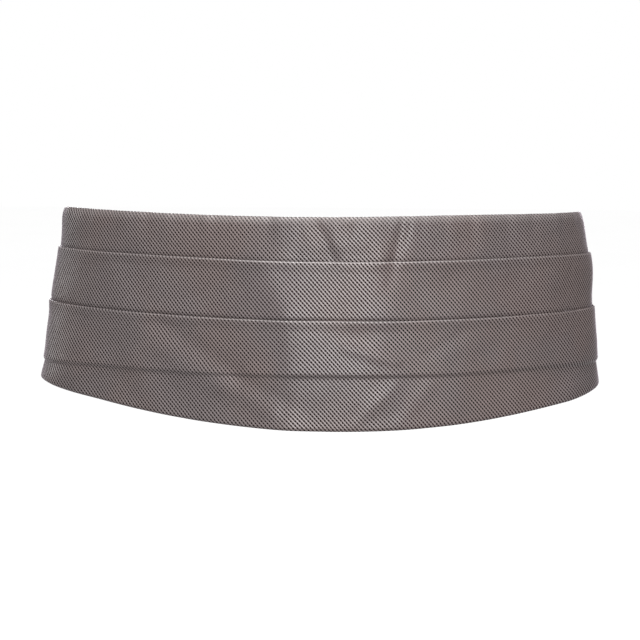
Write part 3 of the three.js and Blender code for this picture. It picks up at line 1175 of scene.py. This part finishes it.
@dataclass
class Pleat(FrontPiece):
    """A strip folded double, with a soft round upper edge that stands a little off the cloth below."""

    inner_out: float = 1.9 * MM
    wall: float = 1.0 * MM
    # strength of the painted highlight along the fold's top
    painted_highlight_share: float = 0.36
    fold_radius: float = 0.55 * MM
    fold_height: float = 0.85 * MM  # how far down the outside the fold's round goes
    flare: float = 0.3 * MM
    flare_length: float = 6.0 * MM
    end_round: float = 0.5 * MM
    inner_rows: int = 7
    rising_rows: int = 9
    falling_rows: int = 12

    @property
    def outer(self) -> float:
        """Out of the outer layer's middle line."""
        return self.inner_out + self.wall - self.cloth / 2

    def fold(self, crest: np.ndarray, lower: np.ndarray) -> tuple[StripRows, int]:
        """The hairpin of a fold: its inner layer up, round the top and into the outer layer.

        Args:
            crest: Level of the fold's top, by column.
            lower: Level where the inner layer starts, by column.

        Returns:
            The rows, and which of them is the fold's top.
        """
        inner, outer = self.inner_out + self.cloth / 2, self.outer
        loft = self.form.loft(self.columns())
        middle = (inner + outer) / 2 + self.flare * loft
        radius = (outer - inner) / 2 * (1.0 - loft) + self.fold_radius * loft
        centre = crest - self.cloth / 2 - self.fold_radius
        rows = StripRows(lower, inner)
        rows.run(centre - self.flare_length, self.inner_rows, inner)
        rows.run(centre, self.rising_rows, middle - radius)
        turn = np.linspace(0.0, np.pi, 2 * self.arc_rows + 1)[1:]
        drop = np.where(turn > np.pi / 2, self.fold_height, self.fold_radius)
        round_levels = (centre + self.fold_radius) + (drop * (np.sin(turn) - 1.0))[:, None]
        rows.add(round_levels, middle - radius * np.cos(turn)[:, None])
        fold_row = rows.count - self.arc_rows - 1
        rows.run(centre - self.flare_length, self.falling_rows, outer)
        return rows, fold_row


@dataclass
class MiddlePleat(Pleat):
    """The pleat between the two folds; its lower edge lies under the lower pleat."""

    grain: float = -0.4
    # strength of the painted highlight along the fold's top
    painted_highlight_share: float = 0.42
    band_rows: int = 21
    inner_dip: float = 0.25 * MM  # the most that the inner layer sinks
    edge_rise: float = 2.0 * MM  # how far above the tucked edge's level the strip ends

    def path(self) -> ClothPath:
        """The cloth's middle line, from the inner layer's lower edge to the outer layer's.

        Returns:
            The path.
        """
        levels = self.form.pattern.levels(self.columns())
        rows, fold_row = self.fold(levels.upper_fold, levels.tuck)
        self.run_under(rows, levels.lower_fold, levels.tuck + self.edge_rise, self.outer)
        height, out = rows.joined()
        dip = self.dip(height, levels.lower_fold)
        outer_rows = np.arange(len(height))[:, None] > fold_row
        out -= np.where(outer_rows, dip, np.minimum(dip, self.inner_dip))
        return ClothPath(out, height, fold_row, np.full(len(height), self.inner_out + self.wall / 2))

    def make(self) -> bpy.types.Object:
        """Returns:
            The finished piece.
        """
        piece = self.build("middle_pleat_cloth", self.path())
        return carried(piece, Slot.SILK, "middle_pleat")


@dataclass
class LowerPleat(Pleat):
    """The lowest pleat, which steps in below the tucked edge and turns up inside the panel at the hem."""

    grain: float = -1.4
    inner_out: float = 3.2 * MM
    under_out: float = 1.9 * MM
    # strength of the painted highlight along the fold's top
    painted_highlight_share: float = 0.27
    layer_gap: float = 0.3 * MM
    tuck_rise: float = 1.6 * MM  # how far above the tucked edge's level the step in begins
    tuck_blend: float = 2.8 * MM
    hem_turn: float = 10.0 * MM
    step_rows: int = 6
    under_rows: int = 21
    turned_rows: int = 7
    closed_rows: int = 12  # rows past the fold's top that close in on the fold's own middle

    def path(self) -> ClothPath:
        """The cloth's middle line, from behind the fold to the top of the strip turned up inside.

        Returns:
            The path.
        """
        levels = self.form.pattern.levels(self.columns())
        under = self.under_out + self.wall - self.cloth / 2
        turned = -self.layer_gap - self.wall + self.cloth / 2
        radius = (under - turned) / 2
        hem_top = levels.hem + self.cloth / 2 + radius
        step_top = levels.tuck + self.tuck_rise
        sink = np.minimum(self.tuck_blend, (levels.tuck - hem_top) / 2)
        rows, fold_row = self.fold(levels.lower_fold, (levels.lower_fold + levels.tuck) / 2)
        rows.run(step_top, self.band_rows, self.outer)
        rows.run(step_top - sink, self.step_rows, under)
        rows.run(hem_top, self.under_rows, under)
        turn = np.linspace(0.0, np.pi, 2 * self.arc_rows)[1:]
        rows.arc(hem_top, -radius, (under + turned) / 2, radius, turn)
        rows.run(hem_top + self.hem_turn, self.turned_rows, turned)
        height, out = rows.joined()
        closing = out.mean(axis=1)
        closing[: fold_row + self.closed_rows] = self.inner_out + self.wall / 2
        return ClothPath(out, height, fold_row, closing)

    def make(self) -> bpy.types.Object:
        """Returns:
            The finished piece.
        """
        piece = self.build("lower_pleat_cloth", self.path())
        return carried(piece, Slot.SILK, "lower_pleat")


def carried(piece: bpy.types.Object, slot: Slot, *nodes: str) -> bpy.types.Object:
    """Make a finished piece ride on the object, in place of the solids that it stands for.

    Args:
        piece: The finished piece.
        slot: The piece's material slot; not used.
        nodes: The solids that it replaces.

    Returns:
        The same piece.
    """
    if nodes:
        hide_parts(*nodes)
    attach(piece, "root")
    log.info("%s: %d faces", piece.name, len(piece.data.polygons))
    return piece


# What follows a path: the straps and the stitches


class PathTree(NodeTree):
    """A Geometry Nodes tree that turns paths into a finished mesh."""

    def __init__(self, name: str) -> None:
        """Start a tree that takes the paths in.

        Args:
            name: The tree's name.
        """
        self.tree = bpy.data.node_groups.new(name, "GeometryNodeTree")
        for way in ("INPUT", "OUTPUT"):
            self.tree.interface.new_socket("Geometry", in_out=way, socket_type="NodeSocketGeometry")
        self.source = self.node("NodeGroupInput")
        self.sizes: dict[str, object] = {}

    def step(self, kind: str, mode: str = "", **values: object) -> Socket:
        """The first output of a new node, with its inputs linked or set by name."""
        made = self.node(kind, mode=mode) if mode else self.node(kind)
        return self.feed(made, **values).outputs[0]

    def taken(self, name: str, value: object, kind: str = "NodeSocketFloat") -> Socket:
        """Give the tree an input.

        Args:
            name: The input's name.
            value: The value that it gets.
            kind: Its socket type.

        Returns:
            The input's socket inside the tree.
        """
        self.tree.interface.new_socket(name, in_out="INPUT", socket_type=kind)
        self.sizes[name] = value
        return self.source.outputs[name]

    def attribute(self, name: str, data_type: str) -> Socket:
        """A value that the paths carry."""
        made = self.node("GeometryNodeInputNamedAttribute", data_type=data_type)
        return self.feed(made, Name=name).outputs["Attribute"]

    def paths(self) -> Socket:
        """The paths as curves."""
        return self.step("GeometryNodeMeshToCurve", Mesh=self.source.outputs["Geometry"])

    def finish(self, geometry: Socket, material: bpy.types.Material) -> None:
        """End the tree: one real mesh with its finish.

        Args:
            geometry: What the tree has made.
            material: The finish.
        """
        real = self.step("GeometryNodeRealizeInstances", Geometry=geometry)
        finish = self.taken("Finish", material, "NodeSocketMaterial")
        dressed = self.step("GeometryNodeSetMaterial", Geometry=real, Material=finish)
        self.feed(self.node("NodeGroupOutput"), Geometry=dressed)

    def grow(self, name: str, paths: bpy.types.Mesh) -> bpy.types.Object:
        """Run the tree on paths.

        Args:
            name: The piece's name.
            paths: A mesh of edges.

        Returns:
            The piece, with a plain mesh and no modifier.
        """
        start = linked(name + "_paths", paths)
        modifier = start.modifiers.new("grow", "NODES")
        modifier.node_group = self.tree
        for item in self.tree.interface.items_tree:
            if item.in_out == "INPUT" and item.name in self.sizes:
                modifier[item.identifier] = self.sizes[item.name]
        mesh = baked(start)
        mesh.name = name
        soften(mesh, SHARP_DEGREES)
        return linked(name, mesh)


def path_mesh(name: str, rows: list[np.ndarray]) -> bpy.types.Mesh:
    """A mesh of separate rows of points joined by edges.

    Args:
        name: Its name.
        rows: The points of each row.

    Returns:
        The mesh.
    """
    edges, count = [], 0
    for row in rows:
        edges.extend((count + i, count + i + 1) for i in range(len(row) - 1))
        count += len(row)
    mesh = bpy.data.meshes.new(name)
    mesh.from_pydata(np.concatenate(rows).tolist(), edges, [])
    return mesh


@dataclass(frozen=True)
class StrapSizes:
    """Sizes that the straps and the clasp share."""

    width: float = 38 * MM
    wall: float = 1.8 * MM
    solid_wall: float = 2.0 * MM
    underlap: float = 15 * MM
    turnback: float = 16 * MM
    layer_gap: float = 0.3 * MM
    hem_turn: float = 10 * MM
    clasp_wall: float = 3 * MM
    end_bar: float = 4 * MM
    middle_bar: float = 10 * MM
    rail: float = 4 * MM
    clearance: float = 1 * MM
    # how many points the middle line's parts have
    straight_points: int = 90
    bend_points: int = 25
    slope_points: int = 9
    tail_points: int = 12

    @property
    def slot_width(self) -> float:
        """Width of each slot of the clasp."""
        return self.clasp_wall / 2 + self.layer_gap + self.solid_wall + self.clearance

    @property
    def clasp_length(self) -> float:
        """Length of the clasp."""
        return self.middle_bar + 2 * (self.slot_width + self.end_bar)

    @property
    def outer_run(self) -> float:
        """Out of a strap's middle line where it lies on the clasp."""
        return self.clasp_wall + self.layer_gap + self.solid_wall / 2

    @property
    def tail_start(self) -> float:
        """Distance from the back's middle where a turned-back end lies flat."""
        return self.clasp_length / 2 + 2 * (self.outer_run - self.solid_wall / 2)

    def middle_height(self, pattern: FrontPattern) -> float:
        """Level of the straps' middle line."""
        end = pattern.levels(np.array([pattern.reach]))
        return float((end.top + end.hem + self.hem_turn)[0] / 2)

    def run(self, form: ClothForm) -> np.ndarray:
        """A strap's middle line, from inside the panel's end, round the clasp's bar and back.

        Args:
            form: The form that it lies on.

        Returns:
            Rows of distance from the back's middle and out.
        """
        start = form.loop.back - form.pattern.reach + self.underlap
        bar_edge, leave = self.clasp_length / 2 - self.end_bar, self.clasp_length / 2
        inner, outer = -self.layer_gap - self.solid_wall / 2, self.outer_run
        lying = self.solid_wall / 2
        bend_out, radius = (inner + outer) / 2, (outer - inner) / 2
        straight = np.linspace(start, bar_edge, self.straight_points)[:-1]
        turn = np.linspace(-np.pi / 2, np.pi / 2, self.bend_points)
        shares = np.linspace(0.0, 1.0, self.slope_points)
        tail = np.linspace(self.tail_start, self.tail_start + self.turnback, self.tail_points)[1:]
        parts = (
            (straight, np.full_like(straight, inner)),
            (bar_edge - radius * np.cos(turn), bend_out + radius * np.sin(turn)),
            (leave + (self.tail_start - leave) * shares, outer + (lying - outer) * ease(shares)),
            (tail, np.full_like(tail, lying)),
        )
        return np.concatenate([np.stack(part, axis=1) for part in parts])


@dataclass
class Strap:
    """A ribbed strap from inside the panel's end, through the clasp and back on itself."""

    form: ClothForm
    finishes: Finishes
    side: Side
    sizes: StrapSizes = StrapSizes()
    edge_round: float = 0.75 * MM
    edge_steps: int = 3

    @property
    def name(self) -> str:
        """The name of the solid that it stands for."""
        return "right_strap" if self.side is Side.RIGHT else "left_strap"

    def tree(self, middle: float) -> PathTree:
        """The tree that sweeps the strap's section along its middle line and leans it with the walls.

        Args:
            middle: Level of the middle line.

        Returns:
            The tree.
        """
        tree = PathTree(self.name + "_sweep")
        upright = tree.step("GeometryNodeSetCurveNormal", "Z_UP", Curve=tree.paths())
        section = tree.step(
            "GeometryNodeCurvePrimitiveQuadrilateral",
            Width=tree.taken("Wall", self.sizes.wall),
            Height=tree.taken("Width", self.sizes.width),
        )
        radius = tree.taken("Round", self.edge_round)
        section = tree.step(
            "GeometryNodeFilletCurve", "POLY", Curve=section, Radius=radius, Count=self.edge_steps
        )
        swept = tree.step("GeometryNodeCurveToMesh", Curve=upright, Profile_Curve=section, Fill_Caps=True)
        level = tree.node("ShaderNodeSeparateXYZ")
        tree.feed(level, Vector=tree.step("GeometryNodeInputPosition"))
        below = tree.math("SUBTRACT", tree.taken("Middle Height", middle), level.outputs["Z"])
        lean = tree.math("MULTIPLY", tree.attribute("lean", "FLOAT"), below)
        push = tree.node("ShaderNodeVectorMath", operation="SCALE")
        tree.feed(push, Vector=tree.attribute("outward", "FLOAT_VECTOR"), Scale=lean)
        leant = tree.step("GeometryNodeSetPosition", Geometry=swept, Offset=push.outputs[0])
        tree.finish(leant, self.finishes.strap)
        return tree

    def make(self) -> bpy.types.Object:
        """Returns:
            The finished piece.
        """
        run = self.sizes.run(self.form)
        middle = self.sizes.middle_height(self.form.pattern)
        along = self.form.loop.back - self.side.value * run[:, 0]
        points = self.form.place(along, run[:, 1], middle)
        outward = self.form.loop.locate(along)[1]
        lengths = np.concatenate([[0.0], np.cumsum(np.linalg.norm(np.diff(points, axis=0), axis=1))])
        mesh = path_mesh(self.name + "_line", [points])
        mark(mesh, "run", lengths)
        mark(mesh, "lean", self.form.loop.lean(outward))
        mark(mesh, "outward", np.concatenate([outward, np.zeros((len(outward), 1))], axis=1))
        piece = self.tree(middle).grow(self.name + "_cloth", mesh)
        log.info("%s: %.1f mm long", piece.name, lengths[-1] / MM)
        return carried(piece, Slot.STRAP, self.name)


@dataclass
class ClaspPlate:
    """The flat metal clasp, with a slot for each strap and all its edges rounded."""

    form: ClothForm
    finishes: Finishes
    sizes: StrapSizes = StrapSizes()
    edge_round: float = 0.55 * MM
    edge_steps: int = 4
    corner_round: float = 3.0 * MM
    corner_points: int = 9
    slot_round: float = 0.8 * MM
    merge_within: float = 0.001 * MM
    sharp_degrees: float = 30.0

    def rectangle(self, middle: float, width: float, height: float, radius: float) -> np.ndarray:
        """A rectangle with round corners, as a curve's points.

        Args:
            middle: Its middle along the clasp.
            width: Its width.
            height: Its height.
            radius: Its corners' radius.

        Returns:
            Rows of x, y, 0 and 1.
        """
        turns = np.linspace(0.0, np.pi / 2, self.corner_points)
        right, top = width / 2 - radius, height / 2 - radius
        parts = []
        for quarter, (x, y) in enumerate(((right, top), (-right, top), (-right, -top), (right, -top))):
            angle = turns + quarter * np.pi / 2
            x_line, y_line = middle + x + radius * np.cos(angle), y + radius * np.sin(angle)
            parts.append(np.stack([x_line, y_line, np.zeros_like(angle), np.ones_like(angle)], axis=1))
        return np.concatenate(parts)

    def plate(self) -> bpy.types.Mesh:
        """The plate with its slots, lying flat round the origin.

        Returns:
            Its plain mesh.
        """
        sizes = self.sizes
        slot_height = sizes.width + 2 * sizes.clearance
        slot_middle = (sizes.middle_bar + sizes.slot_width) / 2
        outlines = [self.rectangle(0.0, sizes.clasp_length, slot_height + 2 * sizes.rail, self.corner_round)]
        for side in Side:
            middle = side.value * slot_middle
            outlines.append(self.rectangle(middle, sizes.slot_width, slot_height, self.slot_round))
        curve = bpy.data.curves.new("clasp_outline", "CURVE")
        curve.dimensions = "2D"
        curve.fill_mode = "BOTH"
        curve.extrude = sizes.clasp_wall / 2 - self.edge_round
        curve.bevel_depth = self.edge_round
        curve.bevel_resolution = self.edge_steps
        curve.offset = -self.edge_round
        for outline in outlines:
            spline = curve.splines.new("POLY")
            spline.points.add(len(outline) - 1)
            spline.points.foreach_set("co", outline.ravel())
            spline.use_cyclic_u = True
        return baked(linked("clasp_outline", curve))

    def make(self) -> bpy.types.Object:
        """Returns:
            The finished piece.
        """
        sizes, loop = self.sizes, self.form.loop
        mesh = self.plate()
        bar_middle = (sizes.clasp_length - sizes.end_bar) / 2
        inside = loop.locate(np.array([loop.back - bar_middle]))[0][0, 1]
        height = sizes.middle_height(self.form.pattern)
        place = Matrix.Translation((0.0, inside + sizes.clasp_wall / 2, height))
        mesh.transform(place @ Matrix.Rotation(math.pi / 2, 4, "X"))
        shell = bmesh.new()
        shell.from_mesh(mesh)
        bmesh.ops.remove_doubles(shell, verts=shell.verts, dist=self.merge_within)
        bmesh.ops.recalc_face_normals(shell, faces=shell.faces)
        shell.to_mesh(mesh)
        shell.free()
        mesh.materials.clear()
        mesh.materials.append(self.finishes.metal)
        soften(mesh, self.sharp_degrees)
        return carried(linked("clasp_plate", mesh), Slot.METAL, "clasp")


@dataclass
class Stitches:
    """Rows of hand and machine stitches where the cloth pieces are joined."""

    form: ClothForm
    finishes: Finishes
    sizes: StrapSizes = StrapSizes()
    thread: float = 0.22 * MM
    machine_stitch: Span = (3.0 * MM, 2.2 * MM)  # pitch and length
    slip_stitch: Span = (8.0 * MM, 2.4 * MM)
    spread: Span = (0.86, 1.08)  # shares of that length
    seed: int = 5
    end_reach: float = 266 * MM
    end_margin: float = 3.0 * MM
    fold_depth: float = 0.5 * MM  # how far below its level the lower fold stands out in full
    stand_off: float = 0.05 * MM  # how far a stitch's middle lies off the front's cloth
    hem_reach: float = 264 * MM
    hem_rise: float = 1.4 * MM  # above the top of the strip turned up at the hem
    hem_out: float = -0.15 * MM
    edge_rise: float = 16.5 * MM  # of a strap's edge rows, from its middle line
    strap_stand_off: float = 0.03 * MM
    edge_from: float = 26 * MM  # where the edge rows stop, from the clasp's end
    box_rise: float = 14.5 * MM
    box_margin: float = 2.5 * MM
    end_points: int = 60
    hem_points: int = 500
    box_points: tuple[int, int] = (12, 16)

    def surface(self, along: float, height: np.ndarray) -> np.ndarray:
        """Out of the outermost layer on the front panel.

        Args:
            along: Length from the front's middle.
            height: Levels.

        Returns:
            One distance for each level.
        """
        levels = self.form.pattern.levels(np.array([along]))
        middle, hem = MiddlePleat.inner_out + Pleat.wall, LowerPleat.under_out + Pleat.wall
        out = np.where(height > levels.upper_fold, FrontPanel.wall, middle)
        fold_end = levels.lower_fold - self.fold_depth
        out = np.where(height < fold_end, LowerPleat.inner_out + Pleat.wall, out)
        return np.where(height < levels.tuck, hem, out)

    def tree(self, name: str, pitch: float, length: float) -> PathTree:
        """The tree that lays one stitch after another along the paths.

        Args:
            name: The piece's name.
            pitch: Length from one stitch to the next.
            length: A stitch's own length.

        Returns:
            The tree.
        """
        tree = PathTree(name + "_rows")
        pitch_taken = tree.taken("Pitch", pitch)
        spaced = tree.step("GeometryNodeResampleCurve", "LENGTH", Curve=tree.paths(), Length=pitch_taken)
        stitch = tree.step("GeometryNodeMeshUVSphere", Segments=7, Rings=6, Radius=1.0)
        aligned = tree.node("FunctionNodeAlignRotationToVector", axis="X")
        tree.feed(aligned, Vector=tree.step("GeometryNodeInputTangent"))
        spread = tree.node("FunctionNodeRandomValue", data_type="FLOAT")
        tree.feed(spread, Seed=tree.taken("Seed", self.seed, "NodeSocketInt"))
        # the node's second pair of limits is for plain numbers
        for socket, limit in zip(spread.inputs[2:4], self.spread):
            tree.join(socket, limit)
        half = tree.math("MULTIPLY", tree.taken("Stitch Length", length / 2), spread.outputs[1])
        thick = tree.taken("Thread Radius", self.thread)
        laid = tree.step(
            "GeometryNodeInstanceOnPoints",
            Points=spaced,
            Instance=stitch,
            Rotation=aligned.outputs[0],
            Scale=tree.step("ShaderNodeCombineXYZ", X=half, Y=thick, Z=thick),
        )
        tree.finish(laid, self.finishes.thread)
        return tree

    def end_rows(self) -> list[np.ndarray]:
        """Upright rows through all layers near the panel's ends.

        Returns:
            The points of each row.
        """
        rows = []
        for side in Side:
            along = side.value * self.end_reach
            levels = self.form.pattern.levels(np.array([along]))
            top, hem = levels.top[0] - self.end_margin, levels.hem[0] + self.end_margin
            height = np.linspace(top, hem, self.end_points)
            rows.append(self.form.place(along, self.surface(along, height) + self.stand_off, height))
        return rows

    def hem_rows(self) -> list[np.ndarray]:
        """The line of slip stitches along the turned-up hem inside.

        Returns:
            The points of its one row.
        """
        along = np.linspace(-self.hem_reach, self.hem_reach, self.hem_points)
        height = self.form.pattern.levels(along).hem + self.sizes.hem_turn + self.hem_rise
        return [self.form.place(along, self.hem_out, height)]

    def strap_rows(self) -> list[np.ndarray]:
        """Edge rows on both faces of the straps, and the square that holds each turned-back end.

        Returns:
            The points of each row.
        """
        sizes, back = self.sizes, self.form.loop.back
        run = sizes.run(self.form)
        run = run[(run[:, 1] < 0) & (run[:, 0] > sizes.clasp_length / 2 + self.edge_from)]
        middle = sizes.middle_height(self.form.pattern)
        half = sizes.wall / 2 + self.strap_stand_off
        top = sizes.solid_wall / 2 + half
        box = np.array([self.box_margin, sizes.turnback - self.box_margin]) + sizes.tail_start
        box_run = np.linspace(*box, self.box_points[0])
        box_height = np.linspace(middle - self.box_rise, middle + self.box_rise, self.box_points[1])
        rows = []
        for side in (-1, 1):
            for rise in (-self.edge_rise, self.edge_rise):
                for face in (-half, half):
                    rows.append(self.form.place(back - side * run[:, 0], run[:, 1] + face, middle + rise))
                rows.append(self.form.place(back - side * box_run, top, middle + rise))
            rows.extend(self.form.place(back - side * far, top, box_height) for far in box)
        return rows

    def make(self) -> list[bpy.types.Object]:
        """Returns:
            The finished pieces.
        """
        kinds = (
            ("end_stitches", self.end_rows(), self.machine_stitch, Slot.SILK),
            ("hem_stitches", self.hem_rows(), self.slip_stitch, Slot.SILK),
            ("strap_stitches", self.strap_rows(), self.machine_stitch, Slot.STRAP),
        )
        made = []
        for name, rows, stitch, slot in kinds:
            piece = self.tree(name, *stitch).grow(name, path_mesh(name + "_line", rows))
            made.append(carried(piece, slot))
        return made


# Camera, light and floor


class Softbox(NamedTuple):
    """A rectangular soft light: where it stands, its width and height, and its power in watts."""

    name: str
    place: Place
    size: Span
    power: float


SOFTBOXES: tuple[Softbox, ...] = (
    Softbox("front_softbox", (0.35, -2.8, 0.35), (0.45, 0.55), 88.0),
    Softbox("right_softbox", (1.5, -2.2, 0.35), (1.3, 0.6), 20.0),
    Softbox("top_softbox", (0.1, -1.1, 1.9), (2.0, 0.5), 120.0),
    Softbox("left_softbox", (-2.0, -1.2, 0.3), (0.8, 0.8), 9.0),
    Softbox("edge_softbox", (-1.8, 0.9, 0.3), (0.8, 0.8), 10.0),
    Softbox("back_softbox", (-0.4, 2.4, 0.9), (1.4, 0.9), 50.0),
)


@dataclass(frozen=True)
class Studio:
    """The pale floor, the soft lights and the camera at the photograph's angle."""

    distance: float = 2.292
    rise: float = 0.190
    focal_pixels: float = 3973.0
    picture_width: float = 640.0
    sensor: float = 36.0
    far_clip: float = 60.0
    right_pixels: float = 2.9  # where the origin stands in the picture, from its middle
    up_pixels: float = 8.7
    roll: float = math.radians(0.35)
    aim: Place = (0.0, -0.08, 0.0)  # what the softboxes face
    room_light: float = 0.31  # the pale room's light on the object, against 1 as seen behind it
    floor_drop: float = -0.45
    floor_radius: float = 9.0
    floor_corners: int = 96

    def camera(self) -> None:
        """Add the camera and make it the scene's."""
        data = bpy.data.cameras.new("photo_camera")
        data.sensor_width = self.sensor
        data.lens = self.focal_pixels / self.picture_width * self.sensor
        data.clip_end = self.far_clip
        item = linked("photo_camera", data)
        pitch = math.atan2(self.rise, self.distance) + self.up_pixels / self.focal_pixels
        yaw = self.right_pixels / self.focal_pixels
        turn = Matrix.Rotation(yaw, 4, "Z") @ Matrix.Rotation(math.pi / 2 - pitch, 4, "X")
        turn = turn @ Matrix.Rotation(self.roll, 4, "Z")
        item.matrix_world = Matrix.Translation((0.0, -self.distance, self.rise)) @ turn
        bpy.context.scene.camera = item

    def softbox(self, box: Softbox) -> None:
        """Add a soft light that the camera doesn't see.

        Args:
            box: The light's place, size and power.
        """
        data = bpy.data.lights.new(box.name, "AREA")
        data.shape = "RECTANGLE"
        data.size, data.size_y = box.size
        data.energy = box.power
        item = linked(box.name, data)
        facing = (Vector(self.aim) - Vector(box.place)).to_track_quat("-Z", "Y")
        item.matrix_world = Matrix.Translation(box.place) @ facing.to_matrix().to_4x4()
        item.visible_camera = False

    def room(self) -> None:
        """Add the pale room's light."""
        world = bpy.data.worlds.new("pale_room")
        world.use_nodes = True
        tree = world.node_tree
        background = tree.nodes["Background"]
        background.inputs["Color"].default_value = (1.0, 1.0, 1.0, 1.0)
        seen = tree.nodes.new("ShaderNodeMapRange")
        seen.inputs["To Min"].default_value = self.room_light
        seen.inputs["To Max"].default_value = 1.0
        tree.links.new(tree.nodes.new("ShaderNodeLightPath").outputs["Is Camera Ray"], seen.inputs["Value"])
        tree.links.new(seen.outputs["Result"], background.inputs["Strength"])
        bpy.context.scene.world = world

    def floor(self) -> None:
        """Add the round pale floor."""
        turns = np.linspace(0.0, 2 * np.pi, self.floor_corners + 1)[:-1]
        across, deep = self.floor_radius * np.cos(turns), self.floor_radius * np.sin(turns)
        points = np.stack([across, deep, np.full_like(turns, self.floor_drop)], axis=1)
        mesh = bpy.data.meshes.new("floor")
        mesh.from_pydata(points.tolist(), [], [tuple(range(len(points)))])
        mesh.materials.append(PalePaper().material())
        linked("floor", mesh)

    def set_up(self) -> None:
        """Add everything that isn't part of the object."""
        self.camera()
        self.room()
        for box in SOFTBOXES:
            self.softbox(box)
        self.floor()
        bpy.context.scene.view_settings.view_transform = "Standard"


def main() -> None:
    """Build the studio and every piece in order."""
    logging.basicConfig(level=logging.INFO, format="%(name)s: %(message)s")
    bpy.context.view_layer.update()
    Studio().set_up()
    form = ClothForm(WaistLoop(), FrontPattern(), MAIN_CREASES + FINE_CREASES)
    finishes = Finishes.mixed()
    for maker in (FrontPanel, MiddlePleat, LowerPleat):
        maker(form, finishes).make()
    ClaspPlate(form, finishes).make()
    for side in Side:
        Strap(form, finishes, side).make()
    Stitches(form, finishes).make()


if __name__ == "__main__":
    main()
